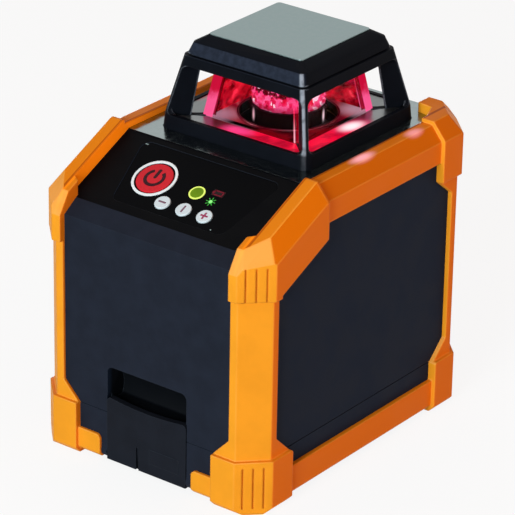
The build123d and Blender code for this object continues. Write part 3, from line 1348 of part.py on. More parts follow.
with BuildPart() as gimbal_ring:
    with BuildSketch(pivot_plane(-RING_H / 2)):
        Circle(RING_OUT_R)
        Circle(RING_IN_R, mode=Mode.SUBTRACT)
    extrude(amount=RING_H)
    with BuildSketch(CROSS_Y.offset(RING_IN_R + RING_T / 2)):
        Circle(RING_H / 2)
    extrude(amount=RING_T / 2 + BOSS_PROUD)
    with BuildSketch(CROSS_Y.offset(RING_OUT_R + BOSS_PROUD)):
        Rectangle(ARM_SIDE, ARM_SIDE)
    extrude(amount=LEVER - NECK_GAP - RING_OUT_R - BOSS_PROUD)
    with BuildSketch(CROSS_Y.offset(LEVER - NECK_GAP)):
        Circle(BALL_NECK_R)
    extrude(amount=NECK_GAP)
    with Locations((0, TOWER_Y - LEVER, PIVOT_Z)):
        Sphere(BALL_R)
    with BuildSketch(CROSS_X):
        Circle(PIN_R + RUNNING)
    extrude(amount=CLEAR, both=True, mode=Mode.SUBTRACT)
    for side in (-1, 1):
        with BuildSketch(CROSS_Y):
            Circle(PIN_R + RUNNING)
        extrude(amount=side * (RING_OUT_R + SEAT), mode=Mode.SUBTRACT)
gimbal_ring.part.label = "gimbal_ring"
export_step(gimbal_ring.part, "parts/gimbal_ring.step")

# Levelling drives: ball lever, lead screw with nut, guide rod, motor and bracket

LEVERS = {
    "pitch": ((0, TOWER_Y - LEVER), (0, -1, 0), PIVOT_Z),
    "roll": ((LEVER, TOWER_Y), (1, 0, 0), PIVOT_Z + ROLL_RISE),
}
MOTOR_TOP = CHASSIS_TOP + LEVEL_MOTOR_H
SCREW_AT = (SCREW_OFFSET, 0)
ROD_AT = (SCREW_OFFSET, ROD_OFFSET)


def lever_plane(lever, height):
    """A level plane under a lever's ball at a height above ground: X points away from the rotor."""
    (x, y), outward, ball_z = LEVERS[lever]
    return Plane(origin=(x, y, height), x_dir=outward, z_dir=(0, 0, 1))


for lever in LEVERS:
    ball_z = LEVERS[lever][2]
    with BuildPart() as nut:
        with BuildSketch(lever_plane(lever, ball_z - BALL_R - JAW_PLAY - JAW_T)):
            with Locations((SCREW_OFFSET + NUT_SHIFT, ROD_OFFSET / 3)):
                Rectangle(*NUT_SIZE)
        extrude(amount=2 * (BALL_R + JAW_PLAY + JAW_T))
        for low in (-BALL_R - JAW_PLAY - JAW_T, BALL_R + JAW_PLAY):
            with BuildSketch(lever_plane(lever, ball_z + low)):
                with Locations(((SCREW_OFFSET - JAW_LIP) / 2, 0)):
                    Rectangle(SCREW_OFFSET + JAW_LIP, JAW_W)
            extrude(amount=JAW_T)
        with BuildSketch(lever_plane(lever, 0)):
            with Locations(SCREW_AT):
                Circle(LEAD_R + RUNNING)
            with Locations(ROD_AT):
                Circle(ROD_R + RUNNING)
        extrude(amount=CLEAR, mode=Mode.SUBTRACT)
    nut.part.label = f"{lever}_nut"
    export_step(nut.part, f"parts/{lever}_nut.step")

    with BuildPart() as screw:
        with BuildSketch(lever_plane(lever, MOTOR_TOP - LEVEL_MOTOR_H / 2 + KEY_PLAY)):
            with Locations(SCREW_AT):
                Circle(LEAD_R)
        extrude(amount=ball_z + LUG_RISE + LUG_T - MOTOR_TOP + LEVEL_MOTOR_H / 2 - 2 * KEY_PLAY)
    screw.part.label = f"{lever}_screw"
    export_step(screw.part, f"parts/{lever}_screw.step")

with BuildPart() as guide_rods:
    for lever in LEVERS:
        with BuildSketch(lever_plane(lever, MOTOR_TOP + KEY_PLAY)):
            with Locations(ROD_AT):
                Circle(ROD_R)
        extrude(amount=LEVERS[lever][2] + LUG_RISE + LUG_T - MOTOR_TOP - 2 * KEY_PLAY)
guide_rods.part.label = "guide_rods"
export_step(guide_rods.part, "parts/guide_rods.step")

with BuildPart() as levelling_motors:
    for lever in LEVERS:
        with BuildSketch(lever_plane(lever, CHASSIS_TOP)):
            with Locations(SCREW_AT):
                Circle(LEVEL_MOTOR_R)
        extrude(amount=LEVEL_MOTOR_H)
        with BuildSketch(lever_plane(lever, MOTOR_TOP)):
            with Locations(SCREW_AT):
                Circle(LEAD_R + RUNNING)
        extrude(amount=-LEVEL_MOTOR_H / 2, mode=Mode.SUBTRACT)
levelling_motors.part.label = "levelling_motors"
export_step(levelling_motors.part, "parts/levelling_motors.step")

with BuildPart() as lever_brackets:
    for lever in LEVERS:
        lug_z = LEVERS[lever][2] + LUG_RISE
        with BuildSketch(lever_plane(lever, CHASSIS_TOP)):
            with Locations((BRACKET_IN + BRACKET_T / 2, ROD_OFFSET / 3)):
                Rectangle(BRACKET_T, BRACKET_W)
        extrude(amount=lug_z + LUG_T - CHASSIS_TOP)
        for low, thick in ((MOTOR_TOP, SHELF_T), (lug_z, LUG_T)):
            with BuildSketch(lever_plane(lever, low)):
                with Locations(((SCREW_OFFSET - BRACKET_LIP + DRIVE_REACH) / 2, ROD_OFFSET / 3)):
                    Rectangle(DRIVE_REACH - SCREW_OFFSET + BRACKET_LIP, BRACKET_W)
            extrude(amount=thick)
        with BuildSketch(lever_plane(lever, CHASSIS_TOP)):
            with Locations(SCREW_AT):
                Circle(LEAD_R + RUNNING)
            with Locations(ROD_AT):
                Circle(ROD_R)
        extrude(amount=CLEAR, mode=Mode.SUBTRACT)
lever_brackets.part.label = "lever_brackets"
export_step(lever_brackets.part, "parts/lever_brackets.step")

# Chassis: plate on the tray's columns, yoke for the gimbal and flange for the main board

MAIN_SCREW_X = MAIN_BOARD_W / 2 - MAIN_SCREW_IN
MAIN_SCREWS = [(x, CHASSIS_TOP + FLANGE_H / 2) for x in (-MAIN_SCREW_X, MAIN_SCREW_X)]

with BuildPart() as chassis:
    with BuildSketch(Plane.XY.offset(CHASSIS_Z)):
        with Locations((0, CHASSIS_MID_Y)):
            RectangleRounded(2 * CHASSIS_HALF, CHASSIS_BACK - CHASSIS_FRONT, CHASSIS_ROUND)
        with Locations((PAD_X / 2, TOWER_Y + ROD_OFFSET / 3)):
            Rectangle(PAD_X, PAD_W)
    extrude(amount=CHASSIS_T)
    for side in (-1, 1):
        with BuildSketch(Plane.XY.offset(CHASSIS_TOP)):
            with Locations((side * (YOKE_IN + YOKE_T / 2), TOWER_Y)):
                Rectangle(YOKE_T, 2 * YOKE_HALF)
        extrude(amount=PIVOT_Z + YOKE_ABOVE - CHASSIS_TOP)
    with BuildSketch(Plane.XY.offset(CHASSIS_TOP)):
        with Locations((0, CHASSIS_BACK - FLANGE_WALL / 2)):
            Rectangle(2 * (CHASSIS_HALF - FLANGE_IN), FLANGE_WALL)
    extrude(amount=FLANGE_H)
    with BuildSketch(CROSS_X):
        Circle(PIN_R)
    extrude(amount=CLEAR, both=True, mode=Mode.SUBTRACT)
    with BuildSketch(Plane.XY.offset(CHASSIS_Z)):
        with Locations(*CHASSIS_COLUMNS):
            Circle(CHASSIS_SCREW_R + SCREW_PLAY)
    extrude(amount=CHASSIS_T, mode=Mode.SUBTRACT)
    with BuildSketch(Plane.XZ.offset(-CHASSIS_BACK)):
        with Locations(*MAIN_SCREWS):
            Circle(SCREW_R + SCREW_PLAY)
    extrude(amount=2 * FLANGE_WALL, mode=Mode.SUBTRACT)
chassis.part.label = "chassis"
export_step(chassis.part, "parts/chassis.step")

with BuildPart() as ring_pins:
    for side in (-1, 1):
        with BuildSketch(CROSS_X.offset(side * (RING_IN_R + SEAT))):
            Circle(PIN_R)
        extrude(amount=side * (YOKE_IN + YOKE_T + PIN_PROUD - RING_IN_R - SEAT))
ring_pins.part.label = "ring_pins"
export_step(ring_pins.part, "parts/ring_pins.step")

with BuildPart() as chassis_screws:
    with BuildSketch(Plane.XY.offset(CHASSIS_TOP)):
        with Locations(*CHASSIS_COLUMNS):
            Circle(2 * CHASSIS_SCREW_R)
    extrude(amount=HEAD_T)
    with BuildSketch(Plane.XY.offset(CHASSIS_TOP)):
        with Locations(*CHASSIS_COLUMNS):
            Circle(CHASSIS_SCREW_R)
    extrude(amount=KEY_PLAY - CHASSIS_SCREW_L)
chassis_screws.part.label = "chassis_screws"
export_step(chassis_screws.part, "parts/chassis_screws.step")

MAIN_BOARD_Z = CHASSIS_TOP + MAIN_BOARD_LIFT

with BuildPart() as main_board:
    with BuildSketch(Plane.XZ.offset(-CHASSIS_BACK)):
        with Locations((0, MAIN_BOARD_Z + MAIN_BOARD_H / 2)):
            RectangleRounded(MAIN_BOARD_W, MAIN_BOARD_H, BOARD_ROUND)
        with Locations(*MAIN_SCREWS):
            Circle(SCREW_R + SCREW_PLAY, mode=Mode.SUBTRACT)
    extrude(amount=-BOARD_T)
    with BuildSketch(Plane.XZ.offset(-CHASSIS_BACK - BOARD_T)):
        for x, rise, wide, tall in CHIPS:
            with Locations((x, MAIN_BOARD_Z + rise)):
                Rectangle(wide, tall)
    extrude(amount=-CHIP_T)
main_board.part.label = "main_board"
export_step(main_board.part, "parts/main_board.step")

with BuildPart() as board_screws:
    with BuildSketch(panel_plane(BOARD_N - BOARD_T)):
        with Locations(*BOARD_HOLES):
            Circle(2 * SCREW_R)
    extrude(amount=-SMALL_HEAD_T)
    with BuildSketch(panel_plane(BOARD_N - BOARD_T)):
        with Locations(*BOARD_HOLES):
            Circle(SCREW_R)
    extrude(amount=BOARD_T + BOARD_SCREW_L)
    with BuildSketch(Plane.XZ.offset(-CHASSIS_BACK - BOARD_T)):
        with Locations(*MAIN_SCREWS):
            Circle(2 * SCREW_R)
    extrude(amount=-SMALL_HEAD_T)
    with BuildSketch(Plane.XZ.offset(-CHASSIS_BACK - BOARD_T)):
        with Locations(*MAIN_SCREWS):
            Circle(SCREW_R)
    extrude(amount=BOARD_T + BOARD_SCREW_L)
board_screws.part.label = "board_screws"
export_step(board_screws.part, "parts/board_screws.step")

# Battery pack, its contacts and the hinged door

with BuildPart() as battery_pack:
    with BuildSketch(Plane.XZ.offset(-PACK_FRONT_Y)):
        with Locations((0, BAY_FLOOR_Z + SEAT + PACK_H / 2)):
            RectangleRounded(2 * PACK_HALF, PACK_H, CELL_R / 2)
    extrude(amount=-PACK_LENGTH)
battery_pack.part.label = "battery_pack"
export_step(battery_pack.part, "parts/battery_pack.step")

CONTACT_Z = BAY_FLOOR_Z + SEAT + PACK_H / 2

with BuildPart() as battery_contacts:
    for x in (-CELL_R, CELL_R):
        with BuildSketch(Plane.YZ.offset(x)):
            with BuildLine():
                Polyline((BAY_BACK_Y, CONTACT_Z - CONTACT_HALF), (BAY_BACK_Y, CONTACT_Z + CONTACT_HALF),
                         (BAY_BACK_Y - CONTACT_T, CONTACT_Z + CONTACT_HALF),
                         (BAY_BACK_Y - CONTACT_T, CONTACT_Z + CONTACT_HALF - CONTACT_FLAT),
                         (BAY_BACK_Y - CONTACT_T - CONTACT_BOW, CONTACT_Z),
                         (BAY_BACK_Y - CONTACT_T, CONTACT_Z - CONTACT_HALF + CONTACT_FLAT),
                         (BAY_BACK_Y - CONTACT_T, CONTACT_Z - CONTACT_HALF), close=True)
            make_face()
        extrude(amount=CONTACT_W / 2, both=True)
battery_contacts.part.label = "battery_contacts"
export_step(battery_contacts.part, "parts/battery_contacts.step")

with BuildPart() as battery_door:
    with BuildSketch(Plane.XZ.offset(-DOOR_BACK_Y)):
        with BuildLine():
            Polyline((DOOR_HALF, DOOR_TOP_Z), (DOOR_HALF, DOOR_LOW_Z), (-DOOR_HALF, DOOR_LOW_Z),
                     (-DOOR_HALF, DOOR_TOP_Z))
            ThreePointArc((-DOOR_HALF, DOOR_TOP_Z), (0, DOOR_TOP_Z - DOOR_DISH), (DOOR_HALF, DOOR_TOP_Z))
        make_face()
        fillet(vertices().group_by(Axis.Y)[-1], radius=DOOR_ROUND)
    extrude(amount=DOOR_T)
    with BuildSketch(Plane.XZ.offset(-DOOR_BACK_Y + DOOR_T)):
        with Locations((DOOR_PAD_AT[0], DOOR_LOW_Z + DOOR_PAD_AT[1])):
            Rectangle(*DOOR_PAD)
    extrude(amount=DOOR_PAD_T)
    with BuildSketch(Plane.YZ):
        with Locations((HINGE_Y, HINGE_Z)):
            Circle(BARREL_R)
    extrude(amount=DOOR_HALF, both=True)
    with BuildSketch(Plane.XZ.offset(-DOOR_BACK_Y + DOOR_T)):
        with Locations((DOOR_SLOT_X, DOOR_LOW_Z + DOOR_SLOT[1] / 2)):
            Rectangle(*DOOR_SLOT)
    extrude(amount=-DOOR_SLOT_DEEP, mode=Mode.SUBTRACT)
    with BuildSketch(Plane.YZ):
        with Locations((HINGE_Y, HINGE_Z)):
            Circle(HINGE_PIN_R + RUNNING)
    extrude(amount=DOOR_HALF, both=True, mode=Mode.SUBTRACT)
battery_door.part.label = "battery_door"
export_step(battery_door.part, "parts/battery_door.step")

with BuildPart() as door_pin:
    with BuildSketch(Plane.YZ):
        with Locations((HINGE_Y, HINGE_Z)):
            Circle(HINGE_PIN_R)
    extrude(amount=DOOR_CUT + LUG_W, both=True)
door_pin.part.label = "door_pin"
export_step(door_pin.part, "parts/door_pin.step")
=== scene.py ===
"""Looks of the rotary laser level: finishes, small details, studio and camera."""

from __future__ import annotations

import json
import logging
import math
from dataclasses import dataclass
from enum import Enum
from typing import Callable, Sequence, Union

import bmesh
import bpy
from mathutils import Matrix, Vector

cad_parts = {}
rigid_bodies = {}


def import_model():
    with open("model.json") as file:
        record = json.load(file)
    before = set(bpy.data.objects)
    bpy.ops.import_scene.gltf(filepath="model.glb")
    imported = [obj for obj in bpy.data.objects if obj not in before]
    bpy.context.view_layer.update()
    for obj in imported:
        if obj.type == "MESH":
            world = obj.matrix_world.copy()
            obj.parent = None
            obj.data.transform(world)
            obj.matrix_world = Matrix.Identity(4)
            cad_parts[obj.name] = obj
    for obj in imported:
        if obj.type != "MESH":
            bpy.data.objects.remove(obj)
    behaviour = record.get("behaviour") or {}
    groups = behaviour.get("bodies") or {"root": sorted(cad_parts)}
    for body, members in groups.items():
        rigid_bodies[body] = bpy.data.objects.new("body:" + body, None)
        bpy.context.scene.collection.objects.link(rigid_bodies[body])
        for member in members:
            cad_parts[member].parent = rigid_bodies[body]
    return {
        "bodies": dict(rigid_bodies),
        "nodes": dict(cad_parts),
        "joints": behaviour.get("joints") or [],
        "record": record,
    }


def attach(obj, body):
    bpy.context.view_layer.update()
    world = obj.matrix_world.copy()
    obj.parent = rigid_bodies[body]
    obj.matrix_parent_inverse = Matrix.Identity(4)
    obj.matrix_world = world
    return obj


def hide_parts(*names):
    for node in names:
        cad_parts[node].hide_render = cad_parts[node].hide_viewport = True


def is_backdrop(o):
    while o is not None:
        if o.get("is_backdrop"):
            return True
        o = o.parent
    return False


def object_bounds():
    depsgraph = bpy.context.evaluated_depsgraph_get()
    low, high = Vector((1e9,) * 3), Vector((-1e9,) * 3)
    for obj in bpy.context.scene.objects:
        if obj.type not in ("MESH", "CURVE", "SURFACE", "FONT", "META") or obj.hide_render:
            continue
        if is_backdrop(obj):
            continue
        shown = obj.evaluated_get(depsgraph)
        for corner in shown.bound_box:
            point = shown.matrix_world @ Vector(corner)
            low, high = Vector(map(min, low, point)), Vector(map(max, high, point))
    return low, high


LOG = logging.getLogger("laser_level")

Socket = bpy.types.NodeSocket
Value = Union[float, int, Sequence[float], Socket]
Colour = tuple[float, float, float]
Place = tuple[float, float, float]
Point = tuple[float, float]
Shape = Callable[[bmesh.types.BMesh], None]

MM = 0.001
TOWER_Y = 21.5
EASED = "eased"

UNLIT: Colour = (0.0, 0.0, 0.0)
WHITE: Colour = (1.0, 1.0, 1.0)
RIGHT: Place = (1.0, 0.0, 0.0)
LEFT: Place = (-1.0, 0.0, 0.0)
FRONT: Place = (0.0, -1.0, 0.0)
UP: Place = (0.0, 0.0, 1.0)

FLOAT = "NodeSocketFloat"
INT = "NodeSocketInt"
VECTOR = "NodeSocketVector"
MATERIAL = "NodeSocketMaterial"
NUMBER_SUMS = ("DOT_PRODUCT", "DISTANCE", "LENGTH")


class Body(Enum):
    """Bodies that the added pieces ride on."""

    HOUSING = "housing"
    ROTOR = "rotor"
    POWER_KEY = "power_key"
    MINUS_KEY = "minus_key"
    MODE_KEY = "mode_key"
    PLUS_KEY = "plus_key"
    DOOR = "door"


class Slot(Enum):
    """Material slots of the record, named beside the added pieces."""

    HOUSING_BLACK = "housing_black"
    BUMPER_ORANGE = "bumper_orange"
    SATIN_METAL = "satin_metal"
    PANEL_FILM = "panel_film"
    KEY_RED = "key_red"
    KEY_WHITE = "key_white"
    LENS_RED = "lens_red"
    LENS_GREEN = "lens_green"
    CLEAR_GLASS = "clear_glass"
    COMPONENT_BLACK = "component_black"
    BRASS = "brass"


def metres(sizes: Sequence[float]) -> list[float]:
    """Return sizes in millimetres as metres."""
    return [size * MM for size in sizes]


def link(name: str, data: bpy.types.ID) -> bpy.types.Object:
    """Add an object to the scene.

    Args:
        name: Its name.
        data: Its mesh, light or camera.

    Returns:
        The object.
    """
    made = bpy.data.objects.new(name, data)
    bpy.context.scene.collection.objects.link(made)
    return made


def applied(carrier: bpy.types.Object, modifier: bpy.types.Modifier, name: str) -> bpy.types.Mesh:
    """Turn a carrier with its modifier into a plain mesh, and remove the carrier.

    Args:
        carrier: Object that carries the modifier.
        modifier: The modifier.
        name: Name of the new mesh.

    Returns:
        The new mesh.
    """
    ready = carrier.evaluated_get(bpy.context.evaluated_depsgraph_get())
    made = bpy.data.meshes.new_from_object(ready)
    source = carrier.data
    carrier.modifiers.remove(modifier)
    bpy.data.objects.remove(carrier)
    bpy.data.meshes.remove(source)
    made.name = name
    return made


class Graph:
    """One node tree, with short calls that add nodes and wire them."""

    def __init__(self, tree: bpy.types.NodeTree) -> None:
        """Keep the tree that the nodes go into."""
        self.tree = tree

    @staticmethod
    def start(name: str, kind: str, inputs: dict[str, str],
              outputs: dict[str, str]) -> tuple[Graph, dict[str, Socket], dict[str, Socket]]:
        """Start a node group with named sockets.

        Args:
            name: Name of the group.
            kind: Blender's name for the type of tree.
            inputs: Socket types by input name.
            outputs: Socket types by output name.

        Returns:
            The group's graph, its inputs and its outputs.
        """
        tree = bpy.data.node_groups.new(name, kind)
        for side, sockets in (("INPUT", inputs), ("OUTPUT", outputs)):
            for socket, socket_type in sockets.items():
                tree.interface.new_socket(name=socket, in_out=side, socket_type=socket_type)
        graph = Graph(tree)
        given = graph.node("NodeGroupInput").outputs
        result = graph.node("NodeGroupOutput").inputs
        return graph, {key: given[key] for key in inputs}, {key: result[key] for key in outputs}

    def put(self, socket: Socket, value: Value) -> None:
        """Wire another node's output to a socket, or set the socket's own value.

        Args:
            socket: Input socket to feed.
            value: Output socket, number or vector.
        """
        if isinstance(value, bpy.types.NodeSocket):
            self.tree.links.new(value, socket)
        elif socket.type == "RGBA" and len(value) == 3:
            socket.default_value = (*value, 1.0)
        else:
            socket.default_value = value

    def node(self, kind: str, inputs: dict | None = None, **settings: object) -> bpy.types.Node:
        """Add one node.

        Args:
            kind: Blender's name for the node type.
            inputs: Values or sockets by input name or number.
            settings: Properties of the node.

        Returns:
            The new node.
        """
        made = self.tree.nodes.new(kind)
        for name, setting in settings.items():
            setattr(made, name, setting)
        for key, value in (inputs or {}).items():
            self.put(made.inputs[key], value)
        return made

    def calc(self, operation: str, first: Value, second: Value = 0.0, third: Value = 0.0) -> Socket:
        """Add a Math node.

        Args:
            operation: Name of the sum.
            first: First number.
            second: Second number.
            third: Third number.

        Returns:
            Its output.
        """
        made = self.node("ShaderNodeMath", {0: first, 1: second, 2: third}, operation=operation)
        return made.outputs[0]

    def times(self, first: Value, *factors: Value) -> Socket:
        """Multiply numbers.

        Args:
            first: First number.
            factors: The other numbers.

        Returns:
            Their product.
        """
        product = first
        for factor in factors:
            product = self.calc("MULTIPLY", product, factor)
        return product

    def vector(self, operation: str, *inputs: Value) -> Socket:
        """Add a Vector Math node.

        Args:
            operation: Name of the sum.
            inputs: One or two vectors.

        Returns:
            Its number where the sum gives one, and otherwise its vector.
        """
        made = self.node("ShaderNodeVectorMath", dict(enumerate(inputs)), operation=operation)
        return made.outputs["Value" if operation in NUMBER_SUMS else "Vector"]

    def axes(self, vector: Value) -> Sequence[Socket]:
        """Return the three parts of a vector."""
        return self.node("ShaderNodeSeparateXYZ", {0: vector}).outputs

    def step(self, value: Value, low: Value, high: Value, out: Point = (0.0, 1.0)) -> Socket:
        """Add a smooth step between two values.

        Args:
            value: Number that changes.
            low: Where the step starts.
            high: Where the step ends.
            out: Results before and after the step.

        Returns:
            The stepped number.
        """
        made = self.node("ShaderNodeMapRange", {
            "Value": value, "From Min": low, "From Max": high, "To Min": out[0], "To Max": out[1],
        }, interpolation_type="SMOOTHSTEP")
        return made.outputs[0]

    def blend(self, factor: Value, first: Value, second: Value) -> Socket:
        """Mix two colours.

        Args:
            factor: Share of the second colour.
            first: First colour.
            second: Second colour.

        Returns:
            The mixed colour.
        """
        made = self.node("ShaderNodeMix", data_type="RGBA")
        # The Mix node keeps its colour inputs at 6 and 7, and its colour output at 2.
        for index, value in ((0, factor), (6, first), (7, second)):
            self.put(made.inputs[index], value)
        return made.outputs[2]

    def ramp(self, factor: Value, stops: Sequence[tuple[float, Colour]]) -> Socket:
        """Turn a number into a colour by stops.

        Args:
            factor: Number from 0 to 1.
            stops: Positions and their colours.

        Returns:
            The colour.
        """
        made = self.node("ShaderNodeValToRGB", {0: factor})
        marks = made.color_ramp.elements
        while len(marks) < len(stops):
            marks.new(0.5)
        for mark, (position, colour) in zip(marks, stops):
            mark.position = position
            mark.color = (*colour, 1.0)
        return made.outputs[0]

    def noise(self, place: Value, scale: Value, detail: float, roughness: float = 0.5) -> Socket:
        """Return cloudy noise.

        Args:
            place: Coordinates.
            scale: Clouds in a metre.
            detail: Number of finer layers.
            roughness: Share of the finer layers.

        Returns:
            A number from 0 to 1.
        """
        return self.node("ShaderNodeTexNoise", {
            "Vector": place, "Scale": scale, "Detail": detail, "Roughness": roughness}).outputs["Fac"]

    def place(self) -> Socket:
        """Return the piece's own coordinates in metres."""
        return self.node("ShaderNodeTexCoord").outputs["Object"]

    def surface(self, output: str) -> Socket:
        """Return one of the facts that Blender gives for a point of the surface."""
        return self.node("ShaderNodeNewGeometry").outputs[output]

    def facing(self, direction: Place, low: float, high: float) -> Socket:
        """Return 1 on faces that look one way.

        Args:
            direction: Unit vector that they look along.
            low: Cosine of the angle at which the mask starts.
            high: Cosine at which it is full.

        Returns:
            The mask.
        """
        return self.step(self.vector("DOT_PRODUCT", self.surface("True Normal"), direction), low, high)

    def group(self, tree: bpy.types.NodeTree, inputs: dict[str, Value]) -> bpy.types.NodeOutputs:
        """Place a node group with values or sockets by input name, and return its outputs."""
        return self.node("ShaderNodeGroup", inputs, node_tree=tree).outputs


class Effects:
    """Shader node groups that several finishes share, each made at its first call."""

    KIND = "ShaderNodeTree"
    TONE = (0.3, 0.7)

    @staticmethod
    def grain() -> bpy.types.NodeTree:
        """Make mould grain: a slow tone and a fine height.

        Returns:
            The group.
        """
        name, slow_share = "mould_grain", 0.03
        if name not in bpy.data.node_groups:
            graph, given, result = Graph.start(
                name, Effects.KIND, {"Vector": VECTOR, "Scale": FLOAT}, {"Tone": FLOAT, "Height": FLOAT})
            slow = graph.noise(given["Vector"], graph.times(given["Scale"], slow_share), 3.0, 0.6)
            fine = graph.noise(given["Vector"], given["Scale"], 2.0)
            graph.put(result["Tone"], graph.step(slow, *Effects.TONE))
            graph.put(result["Height"], fine)
        return bpy.data.node_groups[name]

    @staticmethod
    def edge() -> bpy.types.NodeTree:
        """Make edges for scuffs and painted highlights: a rounded normal and a mask along the edges.

        Returns:
            The group.
        """
        name, bent = "worn_edge", (0.995, 0.85)
        if name not in bpy.data.node_groups:
            graph, given, result = Graph.start(
                name, Effects.KIND, {"Radius": FLOAT}, {"Normal": VECTOR, "Mask": FLOAT})
            bevel = graph.node("ShaderNodeBevel", {"Radius": given["Radius"]}, samples=6).outputs[0]
            dot = graph.vector("DOT_PRODUCT", bevel, graph.surface("Normal"))
            graph.put(result["Normal"], bevel)
            graph.put(result["Mask"], graph.step(dot, *bent))
        return bpy.data.node_groups[name]

    @staticmethod
    def spot() -> bpy.types.NodeTree:
        """Make a soft spot of light: a mask that fades from its centre.

        Returns:
            The group.
        """
        name, fade = "light_spot", (1.0, 0.15)
        if name not in bpy.data.node_groups:
            graph, given, result = Graph.start(
                name, Effects.KIND, {"Vector": VECTOR, "Centre": VECTOR, "Reach": VECTOR}, {"Mask": FLOAT})
            away = graph.vector("SUBTRACT", given["Vector"], given["Centre"])
            far = graph.vector("LENGTH", graph.vector("DIVIDE", away, given["Reach"]))
            graph.put(result["Mask"], graph.step(far, *fade))
        return bpy.data.node_groups[name]

    @staticmethod
    def brush() -> bpy.types.NodeTree:
        """Make brushed or rolled metal: streaks as tone and height.

        Returns:
            The group.
        """
        name = "metal_streaks"
        if name not in bpy.data.node_groups:
            graph, given, result = Graph.start(
                name, Effects.KIND, {"Vector": VECTOR, "Scale": VECTOR}, {"Tone": FLOAT, "Height": FLOAT})
            stretched = graph.vector("MULTIPLY", given["Vector"], given["Scale"])
            streak = graph.noise(stretched, 1.0, 4.0, 0.65)
            graph.put(result["Tone"], graph.step(streak, *Effects.TONE))
            graph.put(result["Height"], streak)
        return bpy.data.node_groups[name]


@dataclass(frozen=True)
class Glow:
    """A soft painted spot of light on a surface, in millimetres: laser light, highlights and lamp light."""

    centre: Place
    reach: Place
    colour: Colour

    def mask(self, graph: Graph, place: Socket) -> Socket:
        """Return the spot's strength over a surface.

        Args:
            graph: The material's graph.
            place: The piece's coordinates.

        Returns:
            The mask.
        """
        return graph.group(Effects.spot(), {
            "Vector": place, "Centre": metres(self.centre), "Reach": metres(self.reach)})["Mask"]


@dataclass(frozen=True)
class Finish:
    """A finish with a mottled colour; the special finishes build on it."""

    name: str
    colour: Colour
    roughness: float = 0.5
    specular: float = 0.3
    grain: float = 3000.0
    depth: float = 0.02
    edge: float = 0.35
    # Edges are lightened as scuffs and as painted highlights, by a share and a colour.
    scuff_and_sheen: float = 0.25
    vary: float = 0.12
    scuff_and_sheen_colour: Colour | None = None
    glows: tuple[Glow, ...] = ()
    swing: float = 0.05
    relief: float = 0.5
    scuff_and_sheen_lift: float = 0.5

    def material(self) -> bpy.types.Material:
        """Make the finish's material at the first call.

        Returns:
            The material.
        """
        made = bpy.data.materials.get(self.name)
        if made is None:
            made = bpy.data.materials.new(self.name)
            made.use_nodes = True
            made.diffuse_color = (*self.colour, 1.0)
            self.dress(Graph(made.node_tree), made.node_tree.nodes["Principled BSDF"])
        return made

    def tone(self, share: float) -> Colour:
        """Return the colour made lighter or darker by a share."""
        return tuple(min(1.0, part * (1.0 + share)) for part in self.colour)

    def dress(self, graph: Graph, shader: bpy.types.Node) -> None:
        """Build a moulded surface: mottling, fine grain, and lighter edges.

        Args:
            graph: The material's graph.
            shader: Its Principled shader.
        """
        place = graph.place()
        grain = graph.group(Effects.grain(), {"Vector": place, "Scale": self.grain})
        self.fix(shader, {"Specular IOR Level": self.specular})
        self.cover(graph, shader, place, grain["Tone"], grain["Height"], self.depth)

    def cover(self, graph: Graph, shader: bpy.types.Node, place: Socket, tone: Socket, height: Socket,
              depth: float) -> None:
        """Build a surface from its mottling and relief, with edges lightened as scuffs and painted
        highlights, and painted spots of light.

        Args:
            graph: The material's graph.
            shader: Its Principled shader.
            place: The piece's coordinates.
            tone: Mottling from 0 to 1.
            height: Relief from 0 to 1.
            depth: Depth of the relief in millimetres.
        """
        edge = graph.group(Effects.edge(), {"Radius": self.edge * MM})
        # Painted highlight, and scuffs, along the edges.
        scuff_and_sheen_mask = graph.times(edge["Mask"], self.scuff_and_sheen)
        scuff_and_sheen_colour = self.scuff_and_sheen_colour or self.tone(self.scuff_and_sheen_lift)
        graph.put(shader.inputs["Base Color"], graph.blend(scuff_and_sheen_mask, self.body(graph, tone), scuff_and_sheen_colour))
        graph.put(shader.inputs["Roughness"], graph.step(
            tone, 0.0, 1.0, (self.roughness - self.swing, self.roughness + self.swing)))
        bump = graph.node("ShaderNodeBump", {
            "Strength": self.relief, "Distance": depth * MM, "Height": height, "Normal": edge["Normal"]})
        graph.put(shader.inputs["Normal"], bump.outputs[0])
        self.light(graph, shader, place)

    def body(self, graph: Graph, tone: Value) -> Socket:
        """Return the mottled colour.

        Args:
            graph: The material's graph.
            tone: Mottling from 0 to 1.

        Returns:
            The colour.
        """
        return graph.blend(tone, self.tone(-self.vary), self.tone(self.vary))

    def light(self, graph: Graph, shader: bpy.types.Node, place: Socket) -> None:
        """Add the finish's painted spots of light.

        Args:
            graph: The material's graph.
            shader: Its Principled shader.
            place: The piece's coordinates.
        """
        colour: Value = UNLIT
        for glow in self.glows:
            colour = graph.blend(glow.mask(graph, place), colour, glow.colour)
        if self.glows:
            self.shine(graph, shader, colour)

    def shine(self, graph: Graph, shader: bpy.types.Node, colour: Value, strength: float = 1.0) -> None:
        """Give the surface a light of its own.

        Args:
            graph: The material's graph.
            shader: Its Principled shader.
            colour: Colour of the light.
            strength: Strength of the light.
        """
        graph.put(shader.inputs["Emission Color"], colour)
        self.fix(shader, {"Emission Strength": strength})

    @staticmethod
    def fix(shader: bpy.types.Node, values: dict[str, float]) -> None:
        """Set plain values on a shader's own sockets.

        Args:
            shader: The shader.
            values: Values by socket name.
        """
        for name, value in values.items():
            shader.inputs[name].default_value = value


